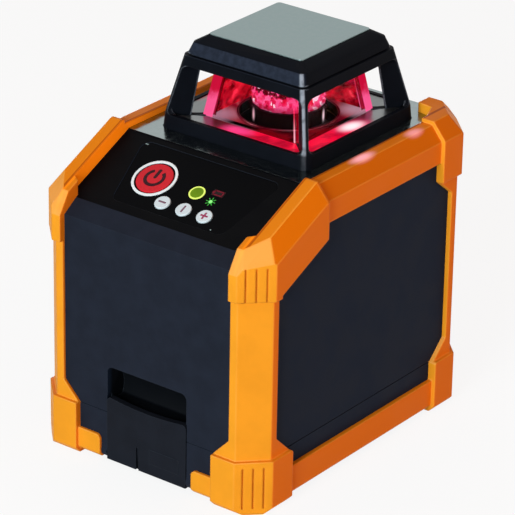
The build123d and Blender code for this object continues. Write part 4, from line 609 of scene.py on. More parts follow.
@dataclass(frozen=True)
class ShellFinish(Finish):
    """Moulding with painted side light that makes its sides bluer, painted shade in the hollow for a finger,
    and a darker slope.
    """

    dark: Colour = (0.0007, 0.0009, 0.0014)
    slope: Place = (0.0, -0.4199, 0.9076)
    slope_look: Point = (0.990, 0.997)
    # Painted side light: faces that look sideways are bluer and lighter.
    painted_side: Colour = (0.0113, 0.0168, 0.0310)
    painted_side_look: Point = (0.8, 0.95)
    painted_side_share: Point = (0.7, 1.0)
    # Painted shade in the hollow for a finger.
    hollow: Colour = (0.0032, 0.0036, 0.0048)
    hollow_half: float = 27.0
    hollow_low: float = 24.0
    hollow_high: float = 56.0
    hollow_depth: Point = (-76.4, -72.5)
    hollow_end: float = -45.0

    def body(self, graph: Graph, tone: Value) -> Socket:
        """Return the mottled colour with its painted side light, dark slope and painted shade in the hollow.

        Args:
            graph: The material's graph.
            tone: Mottling from 0 to 1.

        Returns:
            The colour.
        """
        x, y, z = graph.axes(graph.place())
        # Painted shade inside the hollow for a finger.
        inside = graph.times(
            graph.calc("LESS_THAN", graph.calc("ABSOLUTE", x), self.hollow_half * MM),
            graph.calc("COMPARE", z, (self.hollow_high + self.hollow_low) / 2.0 * MM,
                       (self.hollow_high - self.hollow_low) / 2.0 * MM),
            graph.step(y, *metres(self.hollow_depth)),
            graph.calc("LESS_THAN", y, self.hollow_end * MM))
        # Painted side light on faces that look sideways.
        beside = graph.calc("MAXIMUM", graph.facing(RIGHT, *self.painted_side_look),
                            graph.facing(LEFT, *self.painted_side_look))
        beside = graph.times(beside, graph.step(tone, 0.0, 1.0, self.painted_side_share))
        plain = graph.blend(beside, super().body(graph, tone), self.painted_side)
        plain = graph.blend(inside, plain, self.hollow)
        return graph.blend(graph.facing(self.slope, *self.slope_look), plain, self.dark)


@dataclass(frozen=True)
class OvermouldFinish(Finish):
    """Soft overmould with painted light: pale painted highlights on its front brows and eased edges, which
    also stand for scuffs, and painted shade on its sides, tops, brows, hollow edges and inner lines.

    The ranges are parts of a face's normal between which a colour comes in.
    """

    # Painted shade in hollow eased edges and along the rails' inner lines.
    crease: Colour = (0.40, 0.070, 0.001)
    crease_shade_share: float = 0.7
    # Painted shade and light by which way a face looks: sides, tops and brows.
    side: Colour = (0.97, 0.205, 0.007)
    side_beside: Point = (0.78, 0.95)
    top: Colour = (0.82, 0.215, 0.006)
    top_up: Point = (0.7, 0.85)
    brow_shade: Colour = (0.76, 0.155, 0.001)
    deep_beside: Point = (0.58, 0.70)
    deep_up: Point = (0.38, 0.52)
    # Pale painted highlight on the front brows and eased outside edges; on the edges it also stands for
    # scuffs.
    pale: Colour = (0.94, 0.35, 0.06)
    pale_ahead: Point = (-0.46, -0.60)
    pale_up: Point = (0.15, 0.35)
    pale_tone: Point = (0.0, 0.7)
    pale_share: Point = (0.4, 1.0)
    # Painted shadow lines along the inner top edges of the rails.
    line: float = 49.9
    line_half: float = 1.0
    line_core: float = 0.4
    line_low: float = 117.0
    line_share: float = 0.9
    line_up: Point = (0.15, 0.3)
    line_ahead: Point = (-0.49, -0.44)

    def body(self, graph: Graph, tone: Value) -> Socket:
        """Return the mottled colour with painted shade on its sides, tops and brows, pale painted highlights
        that also stand for scuffs, and painted shade in hollows and lines.

        Args:
            graph: The material's graph.
            tone: Mottling from 0 to 1.

        Returns:
            The colour.
        """
        look_x, look_y, look_z = graph.axes(graph.surface("True Normal"))
        mark = graph.node("ShaderNodeAttribute", attribute_name=EASED).outputs["Fac"]
        beside = graph.calc("ABSOLUTE", look_x)
        # Painted shade on the brows.
        brow = graph.times(graph.step(beside, *self.deep_beside), graph.step(look_z, *self.deep_up))
        # Painted highlight on front-facing brows; eased outside edges also carry scuffs.
        front = graph.times(graph.step(look_y, *self.pale_ahead), graph.step(look_z, *self.pale_up))
        eased_scuff_and_sheen = graph.times(graph.calc("MAXIMUM", mark, 0.0), self.scuff_and_sheen)
        scuff_and_sheen_mask = graph.times(graph.calc("MAXIMUM", front, eased_scuff_and_sheen),
                           graph.step(tone, *self.pale_tone, self.pale_share))
        colour = super().body(graph, tone)
        painted_side, upper = graph.step(beside, *self.side_beside), graph.step(look_z, *self.top_up)
        # Painted side, top and brow shade, then the pale painted highlight, over the mottled colour.
        for mask, over in ((painted_side, self.side), (upper, self.top), (brow, self.brow_shade), (scuff_and_sheen_mask, self.pale)):
            colour = graph.blend(mask, colour, over)
        # Painted shade in hollow eased edges and along the rails' inner lines.
        level = graph.times(graph.step(look_z, *self.line_up), graph.step(look_y, *self.line_ahead))
        dark = graph.calc("MAXIMUM", graph.times(mark, -self.crease_shade_share), self.lines(graph, level))
        return graph.blend(dark, colour, self.crease)

    def lines(self, graph: Graph, level: Value) -> Socket:
        """Return the painted shadow lines along the inner top edges of the rails.

        Args:
            graph: The material's graph.
            level: 1 on the faces that carry them.

        Returns:
            The mask.
        """
        x, _, z = graph.axes(graph.place())
        away = graph.calc("ABSOLUTE", graph.calc("SUBTRACT", graph.calc("ABSOLUTE", x), self.line * MM))
        near = graph.step(away, self.line_half * MM, self.line_core * self.line_half * MM)
        return graph.times(near, level, graph.calc("GREATER_THAN", z, self.line_low * MM), self.line_share)


@dataclass(frozen=True)
class TowerFinish(Finish):
    """Moulding with painted highlights on its upright corners, and painted light on its front round its head.

    The near corner carries a soft painted highlight stripe, whose place is measured across the corner.
    """

    # Painted highlight on the upright corners, and on the near corner's stripe.
    corner: Colour = (0.30, 0.31, 0.36)
    corner_share: Point = (0.55, 1.0)
    corner_specks: Point = (0.32, 0.58)
    reach: float = 0.9
    line_bend: Point = (0.08, 0.2)
    line_edge: Point = (0.05, 0.5)
    line_share: Point = (0.0, 0.5)
    stripe_right: Point = (0.6, -0.6)
    stripe_left: Point = (-3.4, -1.6)
    stripe_bend: Point = (-0.08, -0.25)
    stripe_foot: Point = (143.0, 144.5)
    stripe_share: Point = (0.12, 1.0)
    # Painted light on the front of the head, below the crease.
    front: Colour = (0.0225, 0.0275, 0.0440)
    front_look: Point = (0.3, 0.75)
    front_share: Point = (0.6, 1.0)
    front_specks: Point = (0.3, 0.7)
    head: Point = (170.2, 171.2)
    crease: Point = (176.5, 176.1)
    specks: float = 420.0

    def body(self, graph: Graph, tone: Value) -> Socket:
        """Return the mottled colour with painted light on its front, and painted highlights on its corners.

        Args:
            graph: The material's graph.
            tone: Mottling from 0 to 1.

        Returns:
            The colour.
        """
        place = graph.place()
        x, y, z = graph.axes(place)
        speck = graph.noise(place, self.specks, 3.0)
        below = graph.step(z, *metres(self.crease))
        # Painted light on the front-facing band of the head.
        band = graph.times(below, graph.step(z, *metres(self.head)), graph.facing(FRONT, *self.front_look),
                           graph.step(speck, *self.front_specks, self.front_share))
        base = graph.blend(band, super().body(graph, tone), self.front)
        # Painted highlights: thin lines on upright edges, and a soft stripe on the near corner.
        edge = graph.group(Effects.edge(), {"Radius": self.reach * MM})
        look_x, look_y, _ = graph.axes(edge["Normal"])
        bend = graph.times(look_x, look_y)
        thin = graph.times(graph.step(graph.calc("ABSOLUTE", bend), *self.line_bend),
                           graph.step(edge["Mask"], *self.line_edge, self.line_share))
        across = graph.calc("SUBTRACT", graph.calc("ADD", x, y), TOWER_Y * MM)
        wide = graph.times(graph.step(across, *metres(self.stripe_right)),
                           graph.step(across, *metres(self.stripe_left)),
                           graph.step(bend, *self.stripe_bend),
                           graph.step(z, *metres(self.stripe_foot), self.stripe_share))
        corner = graph.times(graph.calc("MAXIMUM", thin, wide), below,
                             graph.step(speck, *self.corner_specks, self.corner_share))
        return graph.blend(corner, base, self.corner)


@dataclass(frozen=True)
class MetalFinish(Finish):
    """Brushed, turned or rolled metal."""

    swing: float = 0.06
    relief: float = 0.4
    streaks: Place = (900.0, 60.0, 900.0)
    pitch: float = 0.0
    thread_share: float = 0.4

    def dress(self, graph: Graph, shader: bpy.types.Node) -> None:
        """Build streaks in the metal, and a thread's waves where it has a pitch.

        Args:
            graph: The material's graph.
            shader: Its Principled shader.
        """
        place = graph.place()
        streak = graph.group(Effects.brush(), {"Vector": place, "Scale": self.streaks})
        self.fix(shader, {"Metallic": 1.0})
        height, depth = streak["Height"], self.depth
        if self.pitch:
            # At a scale of 1 the texture's bands repeat every pi / 10.
            wave = graph.node("ShaderNodeTexWave", {
                "Vector": place, "Scale": math.pi / (10.0 * self.pitch * MM)},
                wave_type="BANDS", bands_direction="Z")
            height, depth = wave.outputs["Fac"], self.thread_share * self.pitch
        self.cover(graph, shader, place, streak["Tone"], height, depth)


@dataclass(frozen=True)
class SheetFinish(MetalFinish):
    """Sheet metal that is bright on top, and dark on its cut edges and other faces."""

    cut: Colour = (0.012, 0.013, 0.014)
    top_look: Point = (0.7, 0.9)

    def body(self, graph: Graph, tone: Value) -> Socket:
        """Return the streaked colour, dark away from the top.

        Args:
            graph: The material's graph.
            tone: Streaks from 0 to 1.

        Returns:
            The colour.
        """
        return graph.blend(graph.facing(UP, *self.top_look), self.cut, super().body(graph, tone))


@dataclass(frozen=True)
class SillFinish(MetalFinish):
    """Satin metal lit red by the turning laser head, with hot spots."""

    red: Colour = (0.90, 0.003, 0.040)
    shade: Colour = (0.07, 0.002, 0.006)
    low_share: float = 0.5
    lit_from: Point = (26.0, 40.0)
    ragged: float = 12.0
    clouds: float = 120.0
    cloud_step: Point = (0.35, 0.62)

    def light(self, graph: Graph, shader: bpy.types.Node, place: Socket) -> None:
        """Add the red light towards two corners of the tower, and the hot spots.

        Args:
            graph: The material's graph.
            shader: Its Principled shader.
            place: The piece's coordinates.
        """
        x, y, _ = graph.axes(place)
        back = graph.calc("SUBTRACT", y, TOWER_Y * MM)
        skew = graph.calc("ABSOLUTE", graph.calc("SUBTRACT", x, back))
        cloud = graph.noise(place, self.clouds, 3.0)
        lit = graph.step(graph.calc("MULTIPLY_ADD", cloud, self.ragged * MM, skew), *metres(self.lit_from))
        patch = graph.step(cloud, *self.cloud_step, (self.low_share, 1.0))
        colour = graph.blend(graph.times(lit, patch), UNLIT, self.red)
        for glow in self.glows:
            mask = glow.mask(graph, place)
            colour = graph.blend(mask, colour, glow.colour)
            lit = graph.calc("MAXIMUM", lit, mask)
        metal = shader.inputs["Base Color"].links[0].from_socket
        graph.put(shader.inputs["Base Color"], graph.blend(lit, metal, self.shade))
        self.shine(graph, shader, colour)


@dataclass(frozen=True)
class GlossFinish(Finish):
    """Smooth lacquer, film or moulded key with a clear top."""

    coat: float = 0.5
    coat_roughness: float = 0.15

    def dress(self, graph: Graph, shader: bpy.types.Node) -> None:
        """Build a smooth coloured surface under a clear coat.

        Args:
            graph: The material's graph.
            shader: Its Principled shader.
        """
        super().dress(graph, shader)
        self.fix(shader, {"Coat Weight": self.coat, "Coat Roughness": self.coat_roughness})


@dataclass(frozen=True)
class LensFinish(Finish):
    """Tinted lamp lens with a brighter rim or middle."""

    centre: Place = (0.0, 0.0, 0.0)
    radius: float = 1.0
    rim: Colour = WHITE
    rim_from: Point = (0.76, 0.86)
    strength: float = 0.35

    def dress(self, graph: Graph, shader: bpy.types.Node) -> None:
        """Build the lens: its middle in one colour and its rim in another, both a little lit.

        Args:
            graph: The material's graph.
            shader: Its Principled shader.
        """
        place = graph.place()
        grain = graph.group(Effects.grain(), {"Vector": place, "Scale": self.grain})
        away = graph.vector("DISTANCE", place, metres(self.centre))
        low, high = (share * self.radius * MM for share in self.rim_from)
        colour = graph.blend(graph.step(away, low, high), self.body(graph, grain["Tone"]), self.rim)
        graph.put(shader.inputs["Base Color"], colour)
        self.shine(graph, shader, colour, self.strength)
        self.fix(shader, {"Roughness": self.roughness, "Specular IOR Level": self.specular})


@dataclass(frozen=True)
class PaneFinish(Finish):
    """Clear window glass whose mitred corners carry pink laser light.

    Heights are measured from the foot of the panes, and places across from the tower's middle.
    """

    low_half: float = 26.7
    high_half: float = 22.5
    low_z: float = 141.9
    high_z: float = 167.0
    strip: float = 5.4
    strip_edge: float = 0.5
    strip_skew: Point = (16.0, 12.0)
    strip_rise: Point = (13.0, 20.0)
    strip_low: Colour = (0.86, 0.10, 0.29)
    strip_high: Colour = (0.52, 0.004, 0.04)
    strip_tint: Colour = (0.12, 0.002, 0.008)
    glint: Point = (1.7, 3.0)
    glint_rise: Point = (2.0, 12.0)
    glint_low: Colour = (1.0, 0.42, 0.52)
    glint_high: Colour = (0.62, 0.008, 0.045)
    dim: Point = (2.9, 6.0)
    dim_colour: Colour = (0.22, 0.0, 0.006)
    streak_soft: float = 0.5
    streak_right: Point = (10.0, 11.0)
    streak_back: Point = (-18.0, -20.0)
    streak_rise: Point = (18.0, 12.0)
    clouds: float = 110.0
    ragged: float = 16.0
    inward: Point = (-0.004, -0.008)
    patches: tuple[tuple[float, Colour], ...] = (
        (0.38, (0.006, 0.0, 0.0)), (0.47, (0.16, 0.0, 0.002)), (0.58, (0.64, 0.004, 0.02)))
    # Painted laser light and shade that tint the colour of the far panes.
    far_light_tints: tuple[tuple[float, Colour], ...] = (
        (0.40, (0.006, 0.0, 0.0)), (0.56, (0.05, 0.0, 0.001)), (0.68, (0.45, 0.12, 0.18)))
    haze: float = 0.04
    ior: float = 1.08
    lit: bool = True

    def dress(self, graph: Graph, shader: bpy.types.Node) -> None:
        """Build the glass, with laser light in it where it is lit.

        Args:
            graph: The material's graph.
            shader: Its Principled shader.
        """
        place = graph.place()
        cloud = graph.noise(place, self.clouds, 4.0, 0.65)
        self.fix(shader, {"Roughness": self.roughness, "Transmission Weight": 1.0, "IOR": self.ior})
        if self.lit:
            x, y, z = graph.axes(place)
            self.fill(graph, shader, (x, graph.calc("SUBTRACT", y, TOWER_Y * MM), z), cloud)
        else:
            graph.put(shader.inputs["Base Color"], graph.blend(cloud, self.colour, self.tone(-self.haze)))

    def above(self, rise: Point) -> list[float]:
        """Return two heights above the foot of the panes, in metres in the shared frame."""
        return metres([self.low_z + part for part in rise])

    def fill(self, graph: Graph, shader: bpy.types.Node, axis: Sequence[Socket], cloud: Socket) -> None:
        """Add the strips and streaks of light, and the red patches in the far panes.

        Args:
            graph: The material's graph.
            shader: Its Principled shader.
            axis: Places to the right and back of the tower's middle, and the height.
            cloud: Cloudy noise.
        """
        x, back, z = axis
        inner = graph.calc("MINIMUM", graph.calc("ABSOLUTE", x), graph.calc("ABSOLUTE", back))
        lean = (self.high_half - self.low_half) / (self.high_z - self.low_z)
        border = graph.calc("MULTIPLY_ADD", graph.calc("SUBTRACT", z, self.low_z * MM), lean,
                            (self.low_half - self.strip) * MM)
        over = graph.calc("SUBTRACT", inner, border)
        skew = graph.calc("ABSOLUTE", graph.calc("SUBTRACT", x, back))
        corner = graph.times(graph.step(over, 0.0, self.strip_edge * MM),
                             graph.step(skew, *metres(self.strip_skew)))
        front = graph.calc("SUBTRACT", 1.0, graph.surface("Backfacing"))
        height = graph.calc("MULTIPLY_ADD", cloud, self.ragged * MM, z)
        strip = graph.blend(graph.step(height, *self.above(self.strip_rise)), self.strip_low, self.strip_high)
        strip = graph.blend(front, UNLIT, strip)
        glint = graph.blend(graph.step(z, *self.above(self.glint_rise)), self.glint_low, self.glint_high)
        out = graph.node("ShaderNodeCombineXYZ", {0: x, 1: back}).outputs[0]
        dot = graph.vector("DOT_PRODUCT", graph.surface("True Normal"), out)
        far = graph.times(graph.step(dot, *self.inward), front)
        light = graph.blend(far, UNLIT, graph.ramp(cloud, self.patches))
        for span, colour in ((self.glint, glint), (self.dim, self.dim_colour)):
            light = graph.blend(graph.times(self.streak(graph, axis, over, span), front), light, colour)
        # Painted laser light and shade tint the far panes' colour.
        tint = graph.blend(far, self.colour, graph.ramp(cloud, self.far_light_tints))
        graph.put(shader.inputs["Base Color"], graph.blend(corner, tint, self.strip_tint))
        self.shine(graph, shader, graph.blend(corner, light, strip))

    def streak(self, graph: Graph, axis: Sequence[Socket], over: Value, span: Point) -> Socket:
        """Return 1 on an upright streak of light beside the front pane's right end.

        Args:
            graph: The material's graph.
            axis: Places to the right and back of the tower's middle, and the height.
            over: Distance past the inner border of the corner strips.
            span: Distances in millimetres at which the streak starts and ends.

        Returns:
            The mask.
        """
        x, back, z = axis
        low, high = span
        return graph.times(graph.step(over, low * MM, (low + self.streak_soft) * MM),
                           graph.step(over, high * MM, (high - self.streak_soft) * MM),
                           graph.step(x, *metres(self.streak_right)),
                           graph.step(back, *metres(self.streak_back)),
                           graph.step(z, *self.above(self.streak_rise)))


@dataclass(frozen=True)
class CrystalFinish(Finish):
    """Faceted crystal of the turning head, sparkling pink and white."""

    cells: float = 560.0
    sparkle: tuple[tuple[float, Colour], ...] = (
        (0.0, (0.34, 0.0, 0.02)), (0.2, (0.66, 0.008, 0.08)), (0.5, (0.76, 0.04, 0.18)),
        (0.8, (0.80, 0.10, 0.29)), (0.9, (0.86, 0.22, 0.42)), (0.96, (0.97, 0.70, 0.84)))
    clouds: float = 150.0
    patch: Colour = (0.62, 0.004, 0.03)
    patch_step: Point = (0.54, 0.66)
    patch_share: Point = (0.0, 0.75)
    foot: Point = (151.0, 147.0)
    foot_share: Point = (0.0, 0.6)
    rim: Point = (153.0, 153.6)
    ragged: float = 4.0
    dark: Colour = (0.04, 0.0, 0.002)
    tint_share: float = 0.8

    def dress(self, graph: Graph, shader: bpy.types.Node) -> None:
        """Build sharp cells of red, pink and white light, dark towards the foot and the rim.

        Args:
            graph: The material's graph.
            shader: Its Principled shader.
        """
        place = graph.place()
        cell = graph.node("ShaderNodeTexVoronoi", {"Vector": place, "Scale": self.cells},
                          feature="F1", distance="CHEBYCHEV")
        level = graph.node("ShaderNodeSeparateColor", {0: cell.outputs["Color"]}).outputs[0]
        patch = graph.step(graph.noise(place, self.clouds, 2.0), *self.patch_step, self.patch_share)
        colour = graph.blend(patch, graph.ramp(level, self.sparkle), self.patch)
        height = graph.axes(place)[2]
        low = graph.step(height, *metres(self.foot), self.foot_share)
        jagged = graph.calc("MULTIPLY_ADD", level, -self.ragged * MM, height)
        high = graph.step(jagged, *metres(self.rim))
        colour = graph.blend(graph.calc("MAXIMUM", low, high), colour, self.dark)
        graph.put(shader.inputs["Base Color"], graph.blend(self.tint_share, colour, self.colour))
        self.shine(graph, shader, colour)
        self.fix(shader, {"Roughness": self.roughness, "Specular IOR Level": self.specular})


EVEN_STREAKS: Place = (350.0, 350.0, 350.0)
# Edge colour of the black mouldings: scuffs and painted highlights.
SCUFF_AND_SHEEN_BLACK: Colour = (0.050, 0.056, 0.070)

SHELL = ShellFinish("shell_moulding", (0.0128, 0.0150, 0.0240), 0.5, 0.03, grain=2600.0, depth=0.02,
                    scuff_and_sheen=0.35, scuff_and_sheen_colour=SCUFF_AND_SHEEN_BLACK)
BLACK = Finish("door_moulding", (0.0100, 0.0108, 0.0155), 0.5, 0.03, grain=2600.0, depth=0.02,
               scuff_and_sheen=0.4, scuff_and_sheen_colour=SCUFF_AND_SHEEN_BLACK)
TOWER_BLACK = TowerFinish("tower_moulding", (0.0035, 0.0042, 0.0066), 0.45, 0.025, grain=2200.0,
                          depth=0.04, scuff_and_sheen=0.2, scuff_and_sheen_colour=(0.050, 0.053, 0.062))
ORANGE = OvermouldFinish(
    "orange_overmould", (0.87, 0.298, 0.015), 0.45, 0.06, grain=1800.0, depth=0.03, edge=1.2,
    scuff_and_sheen=0.25, vary=0.04, scuff_and_sheen_colour=(0.93, 0.32, 0.04), glows=(
        # Painted spots of laser light on the right rail.
        Glow((53.0, 4.0, 140.0), (4.0, 11.0, 3.0), (0.58, 0.30, 0.44)),
        Glow((54.0, 41.0, 140.0), (4.0, 8.0, 3.0), (0.40, 0.18, 0.28)),
        # Painted lamp light on the inner walls of both bars.
        Glow((-48.9, -45.0, 133.0), (1.6, 60.0, 40.0), (0.44, 0.095, 0.0)),
        Glow((48.9, -45.0, 133.0), (1.6, 60.0, 40.0), (0.44, 0.095, 0.0))))
PLATE = MetalFinish("satin_plate", (0.215, 0.285, 0.285), 0.38, vary=0.06, depth=0.01, scuff_and_sheen=0.05,
                    streaks=EVEN_STREAKS)
MIRROR = SheetFinish("polished_plate", (0.26, 0.315, 0.315), 0.16, vary=0.05, depth=0.004, edge=0.1,
                     scuff_and_sheen=0.0, streaks=EVEN_STREAKS)
FLOOR_PLATE = SillFinish(
    "tower_floor", (0.42, 0.29, 0.33), 0.34, vary=0.2, depth=0.01, scuff_and_sheen=0.05, red=(0.16, 0.001, 0.004),
    shade=(0.02, 0.001, 0.002), low_share=0.1, glows=(
        Glow((-21.0, 0.5, 140.2), (12.0, 12.0, 6.0), (0.38, 0.18, 0.25)),
        Glow((21.0, 42.5, 140.2), (12.0, 12.0, 6.0), (0.44, 0.24, 0.31))))
SILL = SillFinish("lit_sill", (0.20, 0.215, 0.215), 0.35, vary=0.1, depth=0.01, scuff_and_sheen=0.1, glows=(
    Glow((-3.0, -10.9, 142.4), (11.0, 8.0, 8.0), (0.92, 0.05, 0.24)),
    Glow((32.4, 24.5, 142.4), (9.0, 13.0, 8.0), (0.92, 0.06, 0.20)),
    Glow((32.4, 24.5, 142.4), (6.5, 10.0, 6.0), (1.0, 0.90, 0.93)),
    Glow((3.0, 53.9, 142.4), (12.0, 9.0, 9.0), (0.76, 0.04, 0.15)),
    Glow((-32.4, 18.5, 142.4), (9.0, 12.0, 9.0), (0.76, 0.04, 0.15))))
FILM = Finish("film_lacquer", (0.0007, 0.0009, 0.0014), 0.4, 0.02, grain=4000.0, depth=0.003,
              scuff_and_sheen=0.4, edge=0.25, scuff_and_sheen_colour=(0.007, 0.0075, 0.009))
RED_KEY = GlossFinish("red_key", (0.63, 0.016, 0.027), 0.4, 0.1, depth=0.004, scuff_and_sheen=0.15,
                      coat=0.05, vary=0.06)
WHITE_KEY = GlossFinish("white_key", (0.68, 0.72, 0.75), 0.4, 0.2, depth=0.004, scuff_and_sheen=0.0,
                        coat=0.1, vary=0.03)
WHITE_RING = GlossFinish("white_ring", (0.88, 0.89, 0.90), 0.4, 0.3, depth=0.003, scuff_and_sheen=0.0,
                         coat=0.1, vary=0.02)
DARK_INK = Finish("dark_ink", (0.035, 0.006, 0.010), 0.5, 0.1, depth=0.002, scuff_and_sheen=0.0)
PLUM_INK = Finish("plum_ink", (0.20, 0.09, 0.13), 0.5, 0.2, depth=0.002, scuff_and_sheen=0.0)
CRIMSON_INK = Finish("crimson_ink", (0.33, 0.04, 0.10), 0.5, 0.2, depth=0.002, scuff_and_sheen=0.0)
MAROON_INK = Finish("maroon_ink", (0.17, 0.008, 0.020), 0.5, 0.1, depth=0.002, scuff_and_sheen=0.0)
DARK_LENS = Finish("dark_lens", (0.012, 0.003, 0.004), 0.3, 0.1, depth=0.002, scuff_and_sheen=0.0)
GLASS = PaneFinish("window_glass", (0.97, 0.95, 0.96), 0.02, 0.5)
CRYSTAL = CrystalFinish("head_crystal", (0.20, 0.015, 0.04), 0.12, 0.4)
# The hub's two glows are painted highlights on its sides.
HUB_BLACK = Finish("gloss_black", (0.004, 0.001, 0.002), 0.2, 0.05, depth=0.002, scuff_and_sheen=0.0, glows=(
    Glow((-7.4, 6.5, 143.5), (1.6, 1.6, 4.0), (0.80, 0.42, 0.50)),
    Glow((16.5, 24.6, 143.5), (1.6, 1.6, 4.0), (0.85, 0.60, 0.66))))
# The collar's pale edge colour is a painted highlight along its rim.
COLLAR = Finish("well_lacquer", (0.004, 0.002, 0.003), 0.3, 0.06, depth=0.002, edge=0.7, scuff_and_sheen=1.0,
                scuff_and_sheen_colour=(0.80, 0.62, 0.68))
ALUMINIUM = MetalFinish("turned_aluminium", (0.60, 0.61, 0.62), 0.34, streaks=(120.0, 120.0, 2500.0))
STEEL = MetalFinish("bright_steel", (0.50, 0.51, 0.52), 0.28, streaks=(200.0, 200.0, 3000.0))
THREADED = MetalFinish("threaded_steel", (0.46, 0.47, 0.48), 0.3, pitch=1.0)
BRASS = MetalFinish("turned_brass", (0.60, 0.42, 0.14), 0.3, streaks=(150.0, 150.0, 2500.0))
BOARD = Finish("board_lacquer", (0.010, 0.075, 0.028), 0.4, 0.4, grain=1200.0, depth=0.02, vary=0.25)
PARTS_BLACK = Finish("component_resin", (0.012, 0.012, 0.013), 0.45, 0.35, grain=5000.0, depth=0.01,
                     scuff_and_sheen=0.3)
RUBBER = Finish("belt_rubber", (0.010, 0.010, 0.011), 0.75, 0.2, grain=4000.0, depth=0.04)
CELL = GlossFinish("cell_sleeve", (0.025, 0.10, 0.32), 0.35, 0.4, depth=0.004, coat=0.3, vary=0.08)
CLEAR = PaneFinish("optic_glass", (0.96, 0.97, 0.98), 0.0, 0.5, lit=False)


@dataclass(frozen=True)
class Sheet:
    """A plane with two coordinates in millimetres and a height above it."""

    origin: Place
    across: Place
    along: Place

    def at(self, u: float, v: float, height: float) -> Vector:
        """Return the point in metres at two coordinates and a height."""
        across, along = Vector(self.across), Vector(self.along)
        return (Vector(self.origin) + across * u + along * v + across.cross(along) * height) * MM


class Work:
    """Frame of the object and the calls that dress or add pieces.

    Corners merge within a distance in metres. The angles of a flat, sharp or bent edge are in radians.
    An edge is eased where the faces beside it have room for a number of its widths.
    """

    MERGE = 1e-6
    FLAT = 0.003
    SHARP = 0.2
    BENT = 0.05
    ROOM = 2.1

    def __init__(self) -> None:
        """Load the frame and keep its box."""
        self.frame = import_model()
        self.cad_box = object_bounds()

    def dress(self, finish: Finish, *nodes: str) -> None:
        """Give nodes of the frame a finish.

        Args:
            finish: The finish.
            nodes: Names of the nodes.
        """
        for name in nodes:
            node = self.frame["nodes"][name]
            if not node.material_slots:
                node.data.materials.append(None)
            for slot in node.material_slots:
                slot.material = finish.material()
            LOG.info("%s: %s", name, finish.name)

    def add(self, mesh: bpy.types.Mesh, finish: Finish, body: Body, slot: Slot,
            replaces: Sequence[str] = ()) -> None:
        """Add a piece to the object.

        Args:
            mesh: Its mesh, in place.
            finish: Its finish.
            body: Body that it rides on.
            slot: Material slot of the record; not used.
            replaces: Nodes that it stands for.
        """
        if not mesh.materials:
            mesh.materials.append(finish.material())
        piece = link(mesh.name, mesh)
        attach(piece, body.value)
        if replaces:
            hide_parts(*replaces)
        LOG.info("%s rides on %s: %d faces", piece.name, body.value, len(mesh.polygons))

    def refine(self, node: str, name: str, finish: Finish, body: Body, slot: Slot, ease: float = 0.0,
               smooth: float = 32.0, shape: Shape | None = None) -> None:
        """Replace a node by a copy with smooth rounds, and eased edges where it has them.

        Args:
            node: Node of the frame.
            name: Name of the piece.
            finish: Its finish.
            body: Body that it rides on.
            slot: Material slot of the record.
            ease: Width of the eased edges in millimetres.
            smooth: Angle in degrees under which faces are shaded as one surface.
            shape: A change of form made on the copy.
        """
        form = bmesh.new()
        form.from_mesh(self.frame["nodes"][node].data)
        bmesh.ops.remove_doubles(form, verts=form.verts[:], dist=self.MERGE)
        if shape:
            shape(form)
        bmesh.ops.dissolve_limit(form, angle_limit=self.FLAT, verts=form.verts[:], edges=form.edges[:],
                                 use_dissolve_boundaries=False)
        if ease:
            self.ease_edges(form, ease * MM)
        mesh = bpy.data.meshes.new(name)
        form.to_mesh(mesh)
        form.free()
        mesh.shade_smooth()
        mesh.set_sharp_from_angle(angle=math.radians(smooth))
        self.add(self.evened(mesh), finish, body, slot, (node,))

    @staticmethod
    def room(loop: bmesh.types.BMLoop) -> float:
        """Return the width of a face beside one of its edges, in metres.

        Args:
            loop: The edge, as a loop of the face.

        Returns:
            The least width, found at three places along the edge.
        """
        start = loop.vert.co
        ahead = (loop.link_loop_next.vert.co - start).normalized()
        inward = loop.face.normal.cross(ahead)
        flat = [((vert.co - start).dot(ahead), (vert.co - start).dot(inward)) for vert in loop.face.verts]
        least = 1.0
        for share in (0.1, 0.5, 0.9):
            at = share * loop.edge.calc_length()
            for (u, v), (other_u, other_v) in zip(flat, flat[1:] + flat[:1]):
                if (u - at) * (other_u - at) < 0.0:
                    across = v + (other_v - v) * (at - u) / (other_u - u)
                    least = min(least, across) if across > Work.MERGE else least
        return least

    @staticmethod
    def ease_edges(form: bmesh.types.BMesh, width: float) -> None:
        """Round a form's edges and mark the new faces: 1 on outside edges and -1 in inside ones.

        Args:
            form: The form.
            width: Width of the rounding in metres.
        """
        mark = form.faces.layers.float.new(EASED)
        sharp = [edge for edge in form.edges
                 if len(edge.link_faces) == 2 and edge.calc_face_angle(0.0) > Work.SHARP
                 and all(Work.room(loop) > Work.ROOM * width for loop in edge.link_loops)]
        made = bmesh.ops.bevel(form, geom=sharp, offset=width, offset_type="OFFSET", segments=2,
                               profile=0.5, affect="EDGES", clamp_overlap=False)
        for face in made["faces"]:
            bends = [edge.is_convex for edge in face.edges
                     if len(edge.link_faces) == 2 and edge.calc_face_angle(0.0) > Work.BENT]
            face[mark] = 1.0 if 2 * sum(bends) >= len(bends) else -1.0

    @staticmethod
    def evened(mesh: bpy.types.Mesh) -> bpy.types.Mesh:
        """Return a mesh whose shading follows its larger faces.

        Args:
            mesh: The mesh, which is replaced.

        Returns:
            The new mesh.
        """
        carrier = link("carrier", mesh)
        modifier = carrier.modifiers.new("even", "WEIGHTED_NORMAL")
        modifier.weight = 100
        modifier.keep_sharp = True
        return applied(carrier, modifier, mesh.name)


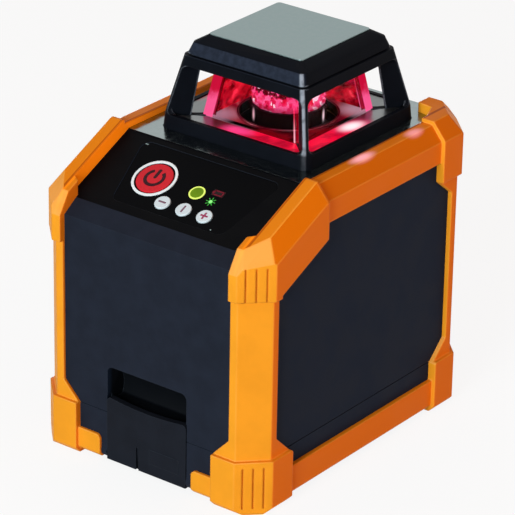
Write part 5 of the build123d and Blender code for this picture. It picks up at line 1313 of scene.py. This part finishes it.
class Form:
    """A mesh that grows from flat outlines on a sheet; a rise is the heights of foot and top."""

    MERGE = 1e-7
    RIM_SHARE = 0.2

    def __init__(self, name: str, sheet: Sheet) -> None:
        """Start an empty mesh.

        Args:
            name: Its name.
            sheet: Plane that it grows on.
        """
        self.name = name
        self.sheet = sheet
        self.form = bmesh.new()

    def prism(self, outline: Sequence[Point], rise: Point, ease: float = 0.0) -> None:
        """Add a prism, with its upper rim drawn in a little.

        Args:
            outline: Corners, counter-clockwise.
            rise: Heights of its foot and its top.
            ease: How far the top's corners move towards its middle.
        """
        low, high = rise
        mid_u, mid_v = (sum(parts) / len(outline) for parts in zip(*outline))
        foot = [self.form.verts.new(self.sheet.at(u, v, low)) for u, v in outline]
        top = []
        for u, v in outline:
            gap = math.hypot(u - mid_u, v - mid_v) or 1.0
            share = 1.0 - min(0.5, ease / gap)
            drawn = mid_u + (u - mid_u) * share, mid_v + (v - mid_v) * share
            top.append(self.form.verts.new(self.sheet.at(*drawn, high)))
        self.form.faces.new(top)
        self.form.faces.new(foot[::-1])
        for index in range(len(outline)):
            after = (index + 1) % len(outline)
            self.form.faces.new((foot[index], foot[after], top[after], top[index]))

    def band(self, centre: Point, radii: Point, rise: Point, arc: Point, count: int = 48) -> None:
        """Add a part of a ring.

        Args:
            centre: Its middle.
            radii: Inner and outer radius.
            rise: Heights of its foot and its top.
            arc: First angle and angle that it covers, in degrees.
            count: Number of steps.
        """
        inner, outer = radii
        start, sweep = arc
        angles = [math.radians(start + sweep * index / count) for index in range(count + 1)]
        for first, second in zip(angles, angles[1:]):
            corners = ((inner, first), (outer, first), (outer, second), (inner, second))
            self.prism([(centre[0] + radius * math.cos(angle), centre[1] + radius * math.sin(angle))
                        for radius, angle in corners], rise)

    def disc(self, centre: Point, radius: float, rise: Point, count: int) -> None:
        """Add a disc with an eased rim.

        Args:
            centre: Its middle.
            radius: Its radius.
            rise: Heights of its foot and its top.
            count: Number of sides.
        """
        angles = [2.0 * math.pi * index / count for index in range(count)]
        self.prism([(centre[0] + radius * math.cos(angle), centre[1] + radius * math.sin(angle))
                    for angle in angles], rise, self.RIM_SHARE * (rise[1] - rise[0]))

    def bar(self, centre: Point, size: Point, rise: Point, turn: float = 0.0) -> None:
        """Add a bar with chamfered ends.

        Args:
            centre: Its middle.
            size: Its length and width.
            rise: Heights of its foot and its top.
            turn: Angle in degrees.
        """
        half, side, cut = size[0] / 2.0, size[1] / 2.0, size[1] / 4.0
        corners = ((half - cut, -side), (half, -side + cut), (half, side - cut), (half - cut, side),
                   (-half + cut, side), (-half, side - cut), (-half, -side + cut), (-half + cut, -side))
        cosine, sine = math.cos(math.radians(turn)), math.sin(math.radians(turn))
        self.prism([(centre[0] + u * cosine - v * sine, centre[1] + u * sine + v * cosine)
                    for u, v in corners], rise)

    def mesh(self) -> bpy.types.Mesh:
        """Merge the corners, take out the walls inside and close the form.

        Returns:
            The mesh.
        """
        bmesh.ops.remove_doubles(self.form, verts=self.form.verts[:], dist=self.MERGE)
        inside = [face for face in self.form.faces if any(
            other is not face and set(other.verts) == set(face.verts)
            for edge in face.edges for other in edge.link_faces)]
        bmesh.ops.delete(self.form, geom=inside, context="FACES_ONLY")
        bmesh.ops.recalc_face_normals(self.form, faces=self.form.faces[:])
        made = bpy.data.meshes.new(self.name)
        self.form.to_mesh(made)
        self.form.free()
        return made


class Repeats:
    """Geometry Nodes trees for what repeats, each made at its first call."""

    KIND = "GeometryNodeTree"
    RESULT = {"Geometry": "NodeSocketGeometry"}

    @staticmethod
    def copies(graph: Graph, points: Socket, instance: Socket, **settings: Value) -> Socket:
        """Set copies on points and make them one mesh.

        Args:
            graph: The tree's graph.
            points: Where the copies go.
            instance: What is copied.
            settings: Turn and scale of the copies, by socket name.

        Returns:
            The mesh.
        """
        made = graph.node("GeometryNodeInstanceOnPoints", {
            "Points": points, "Instance": instance, **settings}).outputs[0]
        return graph.node("GeometryNodeRealizeInstances", {0: made}).outputs[0]

    @staticmethod
    def close(graph: Graph, mesh: Socket, finish: Socket, result: dict[str, Socket]) -> None:
        """Give the mesh its material and put it out.

        Args:
            graph: The tree's graph.
            mesh: The mesh.
            finish: Material input.
            result: The tree's outputs.
        """
        dressed = graph.node("GeometryNodeSetMaterial", {0: mesh, "Material": finish}).outputs[0]
        graph.put(result["Geometry"], dressed)

    @staticmethod
    def ridges() -> bpy.types.NodeTree:
        """Make a stack of round ridges along Z.

        Returns:
            The tree.
        """
        name, ring_steps, section_steps = "ridge_stack", 48, 8
        if name not in bpy.data.node_groups:
            graph, given, result = Graph.start(name, Repeats.KIND, {
                "Start": VECTOR, "Radius": FLOAT, "Thickness": FLOAT, "Pitch": FLOAT, "Count": INT,
                "Material": MATERIAL}, Repeats.RESULT)
            offset = graph.node("ShaderNodeCombineXYZ", {2: given["Pitch"]}).outputs[0]
            line = graph.node("GeometryNodeMeshLine", {
                "Count": given["Count"], "Start Location": given["Start"], "Offset": offset}).outputs[0]
            circle, section = (graph.node("GeometryNodeCurvePrimitiveCircle", {
                "Resolution": steps, "Radius": given[size]}).outputs[0]
                for steps, size in ((ring_steps, "Radius"), (section_steps, "Thickness")))
            ring = graph.node("GeometryNodeCurveToMesh", {
                "Curve": circle, "Profile Curve": section}).outputs[0]
            smooth = graph.node("GeometryNodeSetShadeSmooth", {
                0: Repeats.copies(graph, line, ring), "Shade Smooth": True}).outputs[0]
            Repeats.close(graph, smooth, given["Material"], result)
        return bpy.data.node_groups[name]

    @staticmethod
    def spokes() -> bpy.types.NodeTree:
        """Make bars round a middle, turned onto a plane.

        Returns:
            The tree.
        """
        name = "spoke_ring"
        if name not in bpy.data.node_groups:
            graph, given, result = Graph.start(name, Repeats.KIND, {
                "Centre": VECTOR, "Tilt": VECTOR, "Radius": FLOAT, "Size": VECTOR, "Count": INT,
                "Material": MATERIAL}, Repeats.RESULT)
            circle = graph.node("GeometryNodeMeshCircle", {
                "Vertices": given["Count"], "Radius": given["Radius"]}).outputs[0]
            bar = graph.node("GeometryNodeMeshCube", {"Size": given["Size"]}).outputs[0]
            index = graph.node("GeometryNodeInputIndex").outputs[0]
            angle = graph.calc("DIVIDE", graph.times(index, 2.0 * math.pi), given["Count"])
            turn = graph.node("ShaderNodeCombineXYZ", {2: angle}).outputs[0]
            moved = graph.node("GeometryNodeTransform", {
                "Geometry": Repeats.copies(graph, circle, bar, Rotation=turn),
                "Translation": given["Centre"], "Rotation": given["Tilt"]}).outputs[0]
            Repeats.close(graph, moved, given["Material"], result)
        return bpy.data.node_groups[name]

    @staticmethod
    def shards() -> bpy.types.NodeTree:
        """Make shards scattered over the side of a cylinder.

        Returns:
            The tree.
        """
        name, rows, whole_turn = "shard_ring", 5, 6.28
        least, most = (0.35, 0.35, 0.6), (0.8, 0.8, 1.0)
        if name not in bpy.data.node_groups:
            graph, given, result = Graph.start(name, Repeats.KIND, {
                "Centre": VECTOR, "Radius": FLOAT, "Depth": FLOAT, "Size": FLOAT, "Count": INT,
                "Seed": INT, "Material": MATERIAL}, Repeats.RESULT)
            tube = graph.node("GeometryNodeMeshCylinder", {
                "Vertices": given["Count"], "Side Segments": rows, "Radius": given["Radius"],
                "Depth": given["Depth"]}, fill_type="NONE").outputs[0]
            moved = graph.node("GeometryNodeTransform", {
                "Geometry": tube, "Translation": given["Centre"]}).outputs[0]
            shard = graph.node("GeometryNodeMeshIcoSphere", {
                "Radius": given["Size"], "Subdivisions": 1}).outputs[0]
            turn, scale = (graph.node("FunctionNodeRandomValue", {
                "Min": low, "Max": high, "Seed": given["Seed"]}, data_type="FLOAT_VECTOR").outputs[0]
                for low, high in (((0.0, 0.0, 0.0), (whole_turn,) * 3), (least, most)))
            Repeats.close(graph, Repeats.copies(graph, moved, shard, Rotation=turn, Scale=scale),
                          given["Material"], result)
        return bpy.data.node_groups[name]

    @staticmethod
    def bake(tree: bpy.types.NodeTree, name: str, finish: Finish, **values: object) -> bpy.types.Mesh:
        """Run a tree and return its result as a plain mesh.

        Args:
            tree: The tree.
            name: Name of the mesh.
            finish: Finish for its Material input.
            values: Other inputs by name.

        Returns:
            The mesh.
        """
        values["Material"] = finish.material()
        carrier = link("carrier", bpy.data.meshes.new("carrier"))
        modifier = carrier.modifiers.new("repeats", "NODES")
        modifier.node_group = tree
        for item in tree.interface.items_tree:
            if item.in_out == "INPUT":
                modifier[item.identifier] = values[item.name]
        return applied(carrier, modifier, name)


@dataclass
class Housing:
    """Black two-part housing with its top plate and screws."""

    smooth: float = 32.0

    def build(self, work: Work) -> None:
        """Dress the shell, the tray, the plate and the screws.

        Args:
            work: The object.
        """
        for node, name, finish, slot in (
                ("body_shell", "moulded_shell", SHELL, Slot.HOUSING_BLACK),
                ("base_tray", "moulded_tray", SHELL, Slot.HOUSING_BLACK),
                ("deck_plate", "top_plate", MIRROR, Slot.SATIN_METAL)):
            work.refine(node, name, finish, Body.HOUSING, slot, smooth=self.smooth)
        work.dress(STEEL, "base_screws", "tower_screws", "chassis_screws", "board_screws")


@dataclass
class Bumpers:
    """Two orange bumper rings round the ends of the housing."""

    ease: float = 0.4

    def build(self, work: Work) -> None:
        """Make both rings.

        Args:
            work: The object.
        """
        for side in ("left", "right"):
            work.refine(f"{side}_bumper", f"{side}_ring", ORANGE, Body.HOUSING, Slot.BUMPER_ORANGE, self.ease)


@dataclass
class KeyPanel:
    """Sloped panel: film, keys with their signs, and lamp lenses."""

    foot: Place = (0.0, -68.7, 118.42)
    slope: float = 24.825
    key_top: float = 0.5
    sink: float = 0.05
    sign: float = 0.06
    power: Point = (-18.7, 22.4)
    power_radii: Point = (3.5, 5.1)
    power_arc: Point = (124.0, 292.0)
    power_up: float = 2.5
    power_bar: Point = (5.6, 1.6)
    minus: Point = (-6.5, 11.6)
    mode: Point = (5.0, 11.6)
    stroke: Point = (4.0, 0.9)
    plus: Point = (16.3, 11.6)
    plus_half: float = 0.45
    plus_arm: float = 1.9
    status: Point = (4.5, 22.3)
    status_radius: float = 3.75
    battery: Point = (14.0, 25.4)
    battery_line: float = 0.65
    battery_lines: tuple[tuple[float, float, float, float], ...] = (
        (0.0, 1.15, 5.0, 0.0), (0.0, -1.15, 5.0, 0.0), (2.2, 0.0, 2.9, 90.0), (-2.2, 0.0, 2.9, 90.0),
        (-2.8, 0.0, 1.3, 90.0))
    lamp: Point = (13.5, 20.05)
    lamp_radius: float = 1.0
    ray_lens: float = 4.0
    ray_height: float = -0.08
    ray_ring: float = 1.85
    ray: Place = (1.1, 0.35, 0.1)
    rays: int = 8
    pip_rise: Point = (-0.15, -0.02)
    dash: Point = (-35.2, 38.8)
    dash_size: Point = (1.7, 0.5)
    dot: Point = (23.5, 6.2)
    dot_radius: float = 0.35
    dot_sides: int = 16

    @property
    def sheet(self) -> Sheet:
        """Plane of the panel: across it, and up its slope."""
        angle = math.radians(self.slope)
        return Sheet(self.foot, (1.0, 0.0, 0.0), (0.0, math.cos(angle), math.sin(angle)))

    def spot(self, at: Point) -> Place:
        """Return a point on the panel in millimetres."""
        return tuple(part / MM for part in self.sheet.at(*at, 0.0))

    def build(self, work: Work) -> None:
        """Dress the film, keys and lenses, and put the signs on them.

        Args:
            work: The object.
        """
        for node, name, finish, body, slot in (
                ("panel_overlay", "film", FILM, Body.HOUSING, Slot.PANEL_FILM),
                ("power_ring", "key_ring", WHITE_RING, Body.HOUSING, Slot.KEY_WHITE),
                ("power_button", "power_cap", RED_KEY, Body.POWER_KEY, Slot.KEY_RED),
                ("minus_button", "minus_cap", WHITE_KEY, Body.MINUS_KEY, Slot.KEY_WHITE),
                ("mode_button", "mode_cap", WHITE_KEY, Body.MODE_KEY, Slot.KEY_WHITE),
                ("plus_button", "plus_cap", WHITE_KEY, Body.PLUS_KEY, Slot.KEY_WHITE)):
            work.refine(node, name, finish, body, slot)
        self.lenses(work)
        self.key_signs(work)
        self.film_signs(work)

    def lenses(self, work: Work) -> None:
        """Dress the three lamp lenses.

        Args:
            work: The object.
        """
        work.dress(LensFinish("status_lens", (0.11, 0.20, 0.006), 0.3, 0.05, centre=self.spot(self.status),
                              radius=self.status_radius, rim=(0.72, 0.82, 0.16)), "status_lens")
        work.dress(DARK_LENS, "battery_lens")
        work.dress(LensFinish("lamp_lens", (0.28, 0.80, 0.22), 0.3, centre=self.spot(self.lamp),
                              radius=self.lamp_radius, rim=(0.05, 0.50, 0.06)), "led_lens")

    def key_signs(self, work: Work) -> None:
        """Put the signs on the keys.

        Args:
            work: The object.
        """
        rise = (self.key_top - self.sink, self.key_top + self.sign)
        power = Form("power_sign", self.sheet)
        power.band(self.power, self.power_radii, rise, self.power_arc)
        power.bar((self.power[0], self.power[1] + self.power_up), self.power_bar, rise, 90.0)
        minus = Form("minus_sign", self.sheet)
        minus.bar(self.minus, self.stroke, rise)
        mode = Form("mode_sign", self.sheet)
        mode.bar(self.mode, self.stroke, rise, 90.0)
        plus = Form("plus_sign", self.sheet)
        half, arm = self.plus_half, self.plus_arm
        plus.prism([(self.plus[0] + u, self.plus[1] + v) for u, v in (
            (arm, -half), (arm, half), (half, half), (half, arm), (-half, arm), (-half, half),
            (-arm, half), (-arm, -half), (-half, -half), (-half, -arm), (half, -arm), (half, -half))], rise)
        for form, ink, body in ((power, DARK_INK, Body.POWER_KEY), (minus, PLUM_INK, Body.MINUS_KEY),
                                (mode, PLUM_INK, Body.MODE_KEY), (plus, CRIMSON_INK, Body.PLUS_KEY)):
            work.add(form.mesh(), ink, body, Slot.PANEL_FILM)

    def film_signs(self, work: Work) -> None:
        """Put the battery sign, the lamp's rays and the two pips on the film.

        Args:
            work: The object.
        """
        cell = Form("battery_sign", self.sheet)
        for u, v, length, turn in self.battery_lines:
            cell.bar((self.battery[0] + u, self.battery[1] + v), (length, self.battery_line),
                     (0.0, self.sign), turn)
        work.add(cell.mesh(), MAROON_INK, Body.HOUSING, Slot.LENS_RED)
        green = LensFinish("lamp_rays", (0.03, 0.36, 0.03), 0.4, centre=self.spot(self.lamp),
                           radius=self.ray_lens, rim=(0.02, 0.2, 0.02))
        rays = Repeats.bake(
            Repeats.spokes(), "lamp_rays", green, Centre=tuple(self.sheet.at(*self.lamp, self.ray_height)),
            Tilt=(math.radians(self.slope), 0.0, 0.0), Radius=self.ray_ring * MM, Size=metres(self.ray),
            Count=self.rays)
        work.add(rays, green, Body.HOUSING, Slot.LENS_GREEN)
        pips = Form("film_pips", self.sheet)
        pips.bar(self.dash, self.dash_size, self.pip_rise)
        pips.disc(self.dot, self.dot_radius, self.pip_rise, self.dot_sides)
        work.add(pips.mesh(), PLATE, Body.HOUSING, Slot.SATIN_METAL)


@dataclass
class Lantern:
    """Tower over the laser head: frame, cap, roof plate, sills and windows."""

    foot_z: float = 171.4
    foot_out: float = -0.8
    crease_z: float = 175.2
    crease_out: float = 0.2
    crease_up: float = 1.1
    top_z: float = 179.4
    cavity: float = 24.0
    cap_smooth: float = 22.0

    def sharpen(self, form: bmesh.types.BMesh) -> None:
        """Make the cap's side steeper and its slope flatter, so that the crease between them shows.

        Args:
            form: The cap.
        """
        middle = TOWER_Y * MM
        for vert in form.verts:
            half = max(abs(vert.co.x), abs(vert.co.y - middle))
            if half < self.cavity * MM:
                continue
            level = vert.co.z / MM
            if level < self.crease_z:
                part, start = (level - self.foot_z) / (self.crease_z - self.foot_z), self.foot_out
            else:
                part, start = (self.top_z - level) / (self.top_z - self.crease_z), 0.0
            out, rise = start + (self.crease_out - start) * part, self.crease_up * part
            share = 1.0 + out * MM / half
            vert.co = (vert.co.x * share, middle + (vert.co.y - middle) * share, vert.co.z + rise * MM)

    def build(self, work: Work) -> None:
        """Dress the tower's pieces.

        Args:
            work: The object.
        """
        work.refine("tower_frame", "lantern_frame", TOWER_BLACK, Body.HOUSING, Slot.HOUSING_BLACK)
        work.refine("tower_cap", "lantern_cap", TOWER_BLACK, Body.HOUSING, Slot.HOUSING_BLACK,
                    smooth=self.cap_smooth, shape=self.sharpen)
        for node, name, finish, slot in (
                ("roof_plate", "roof_sheet", PLATE, Slot.SATIN_METAL),
                ("sill_plates", "window_sills", SILL, Slot.SATIN_METAL),
                ("window_panes", "panes", GLASS, Slot.CLEAR_GLASS),
                ("inner_deck", "tower_floor", FLOOR_PLATE, Slot.SATIN_METAL),
                ("well_ring", "well_collar", COLLAR, Slot.COMPONENT_BLACK)):
            work.refine(node, name, finish, Body.HOUSING, slot)
        work.dress(RUBBER, "pane_gasket")


@dataclass
class LaserHead:
    """Turning head with its prism, spindle and drive."""

    radius: float = 14.6
    shard: float = 2.3
    low: float = 148.6
    high: float = 154.6
    shards: int = 34
    seed: int = 7

    def build(self, work: Work) -> None:
        """Dress the head and the carriage.

        Args:
            work: The object.
        """
        shards = Repeats.bake(
            Repeats.shards(), "head_shards", CRYSTAL,
            Centre=metres((0.0, TOWER_Y, (self.low + self.high) / 2.0)), Radius=self.radius * MM,
            Depth=(self.high - self.low) * MM, Size=self.shard * MM, Count=self.shards, Seed=self.seed)
        work.add(shards, CRYSTAL, Body.ROTOR, Slot.LENS_RED)
        work.refine("rotor_hub", "head_hub", HUB_BLACK, Body.ROTOR, Slot.COMPONENT_BLACK)
        work.dress(CRYSTAL, "rotor_drum")
        work.dress(CLEAR, "pentaprism", "collimator_lens")
        work.dress(ALUMINIUM, "laser_tube", "gimbal_ring", "motor_pulley")
        work.dress(BRASS, "laser_module", "pitch_nut", "roll_nut")
        work.dress(STEEL, "tube_pins", "ring_pins", "spindle_bearings", "spin_motor", "levelling_motors",
                   "guide_rods", "door_pin")
        work.dress(THREADED, "pitch_screw", "roll_screw")
        work.dress(RUBBER, "drive_belt")
        work.dress(PARTS_BLACK, "level_sensors", "key_switches", "panel_lamps", "chassis", "lever_brackets")


@dataclass
class Electronics:
    """Boards and cells inside the housing, and the battery door."""

    smooth: float = 32.0

    def build(self, work: Work) -> None:
        """Dress the boards, cells and door.

        Args:
            work: The object.
        """
        work.dress(BOARD, "main_board", "keypad_board")
        work.dress(CELL, "battery_pack")
        work.dress(BRASS, "battery_contacts")
        work.refine("battery_door", "door_leaf", BLACK, Body.DOOR, Slot.HOUSING_BLACK, smooth=self.smooth)


@dataclass
class TripodMount:
    """Threaded insert in the floor of the tray."""

    radius: float = 7.94
    root: float = 0.25
    ridge: float = 0.7
    pitch: float = 2.31
    low: float = 4.6
    turns: int = 6

    def build(self, work: Work) -> None:
        """Dress the insert and add the ridges of its thread.

        Args:
            work: The object.
        """
        work.dress(BRASS, "tripod_insert")
        thread = Repeats.bake(
            Repeats.ridges(), "mount_thread", BRASS, Start=metres((0.0, TOWER_Y, self.low)),
            Radius=(self.radius + self.root) * MM, Thickness=self.ridge * MM, Pitch=self.pitch * MM,
            Count=self.turns)
        work.add(thread, BRASS, Body.HOUSING, Slot.BRASS)


@dataclass(frozen=True)
class Lamp:
    """An area lamp that faces the object, in metres and watts."""

    name: str
    at: Place
    size: Point
    power: float
    colour: Colour

    def build(self, target: Place) -> None:
        """Add the lamp to the scene.

        Args:
            target: Point that it faces.
        """
        light = bpy.data.lights.new(self.name, "AREA")
        light.shape = "RECTANGLE"
        light.size, light.size_y = self.size
        light.energy = self.power
        light.color = self.colour
        lamp = link(self.name, light)
        aim = Vector(target) - Vector(self.at)
        lamp.matrix_world = Matrix.Translation(self.at) @ aim.to_track_quat("-Z", "Y").to_matrix().to_4x4()
        lamp.visible_camera = False


@dataclass
class Studio:
    """Floor, light and camera, in metres."""

    eye: Place = (0.8132, -1.07274, 0.70241)
    azimuth: float = 37.137
    elevation: float = 24.861
    roll: float = 1.028
    lens: float = 233.74
    sensor: float = 36.0
    view_end: float = 50.0
    floor: float = 5.0
    floor_sides: int = 64
    floor_tone: Colour = (0.5, 0.5, 0.5)
    floor_share: float = 0.88
    sky: Colour = (0.93, 0.97, 1.0)
    sky_strength: float = 0.11
    target: Place = (0.0, 0.0, 0.09)
    lamps: tuple[Lamp, ...] = (
        Lamp("key_softbox", (0.337, -1.911, 0.574), (0.9, 0.8), 37.0, (0.90, 1.08, 1.12)),
        Lamp("fill_softbox", (1.75, 0.30, 0.40), (0.9, 0.9), 8.0, (1.0, 0.55, 0.42)),
        Lamp("top_softbox", (-0.10, 0.15, 1.70), (1.2, 1.2), 8.0, (1.0, 0.72, 0.62)),
        Lamp("back_softbox", (-1.45, 1.35, 0.10), (0.9, 0.16), 11.0, WHITE),
        Lamp("edge_strip", (1.25, -1.60, 0.22), (0.12, 0.5), 3.0, WHITE))

    def build(self) -> None:
        """Make the floor, the world, the lamps and the camera."""
        self.make_floor()
        self.make_world()
        for lamp in self.lamps:
            lamp.build(self.target)
        self.make_camera()

    @staticmethod
    def seen(graph: Graph) -> Socket:
        """Return 1 for rays from the camera, from gloss or through glass.

        Args:
            graph: Graph of a material or the world.

        Returns:
            The mask.
        """
        path = graph.node("ShaderNodeLightPath").outputs
        either = graph.calc("MAXIMUM", path["Is Camera Ray"], path["Is Glossy Ray"])
        return graph.calc("MAXIMUM", either, path["Is Transmission Ray"])

    def make_floor(self) -> None:
        """Make the pale floor that keeps a soft shadow, and lets views from below through."""
        form = bmesh.new()
        bmesh.ops.create_circle(form, cap_ends=True, segments=self.floor_sides, radius=self.floor)
        mesh = bpy.data.meshes.new("floor")
        form.to_mesh(mesh)
        form.free()
        material = bpy.data.materials.new("pale_floor")
        material.use_nodes = True
        nodes = material.node_tree.nodes
        nodes.remove(nodes["Principled BSDF"])
        graph = Graph(material.node_tree)
        seen = self.seen(graph)
        tone = graph.blend(seen, self.floor_tone, WHITE)
        matt = graph.node("ShaderNodeBsdfDiffuse", {"Color": tone}).outputs[0]
        white = graph.node("ShaderNodeEmission", {"Color": WHITE, "Strength": 1.0}).outputs[0]
        clear = graph.node("ShaderNodeBsdfTransparent").outputs[0]
        share = graph.times(seen, self.floor_share)
        mixed = graph.node("ShaderNodeMixShader", {0: share, 1: matt, 2: white}).outputs[0]
        under = graph.surface("Backfacing")
        whole = graph.node("ShaderNodeMixShader", {0: under, 1: mixed, 2: clear}).outputs[0]
        graph.put(nodes["Material Output"].inputs["Surface"], whole)
        mesh.materials.append(material)
        link("floor", mesh)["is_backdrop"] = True

    def make_world(self) -> None:
        """Make the world: soft light, and white where it is seen."""
        world = bpy.data.worlds.new("studio")
        world.use_nodes = True
        nodes = world.node_tree.nodes
        graph = Graph(world.node_tree)
        soft = nodes["Background"]
        graph.put(soft.inputs["Color"], self.sky)
        graph.put(soft.inputs["Strength"], self.sky_strength)
        white = graph.node("ShaderNodeBackground", {"Color": WHITE, "Strength": 1.0}).outputs[0]
        mixed = graph.node("ShaderNodeMixShader", {0: self.seen(graph), 1: soft.outputs[0], 2: white})
        graph.put(nodes["World Output"].inputs["Surface"], mixed.outputs[0])
        bpy.context.scene.world = world

    def make_camera(self) -> None:
        """Make the camera at the photograph's viewing angle."""
        turn, rise, tilt = (math.radians(part) for part in (self.azimuth, self.elevation, self.roll))
        ahead = Vector((-math.sin(turn) * math.cos(rise), math.cos(turn) * math.cos(rise), -math.sin(rise)))
        level = Vector((math.cos(turn), math.sin(turn), 0.0))
        upright = level.cross(ahead)
        right = level * math.cos(tilt) + upright * math.sin(tilt)
        up = upright * math.cos(tilt) - level * math.sin(tilt)
        data = bpy.data.cameras.new("camera")
        data.sensor_width = self.sensor
        data.lens = self.lens
        data.clip_end = self.view_end
        camera = link("camera", data)
        camera.matrix_world = Matrix.Translation(self.eye) @ Matrix((right, up, -ahead)).transposed().to_4x4()
        bpy.context.scene.camera = camera


def main() -> None:
    """Build the laser level's looks."""
    logging.basicConfig(level=logging.INFO, format="%(message)s")
    work = Work()
    for assembly in (Housing(), Bumpers(), KeyPanel(), Lantern(), LaserHead(), Electronics(), TripodMount()):
        LOG.info("Building %s", type(assembly).__name__)
        assembly.build(work)
    Studio().build()
    bpy.context.scene.view_settings.view_transform = "Standard"


if __name__ == "__main__":
    main()
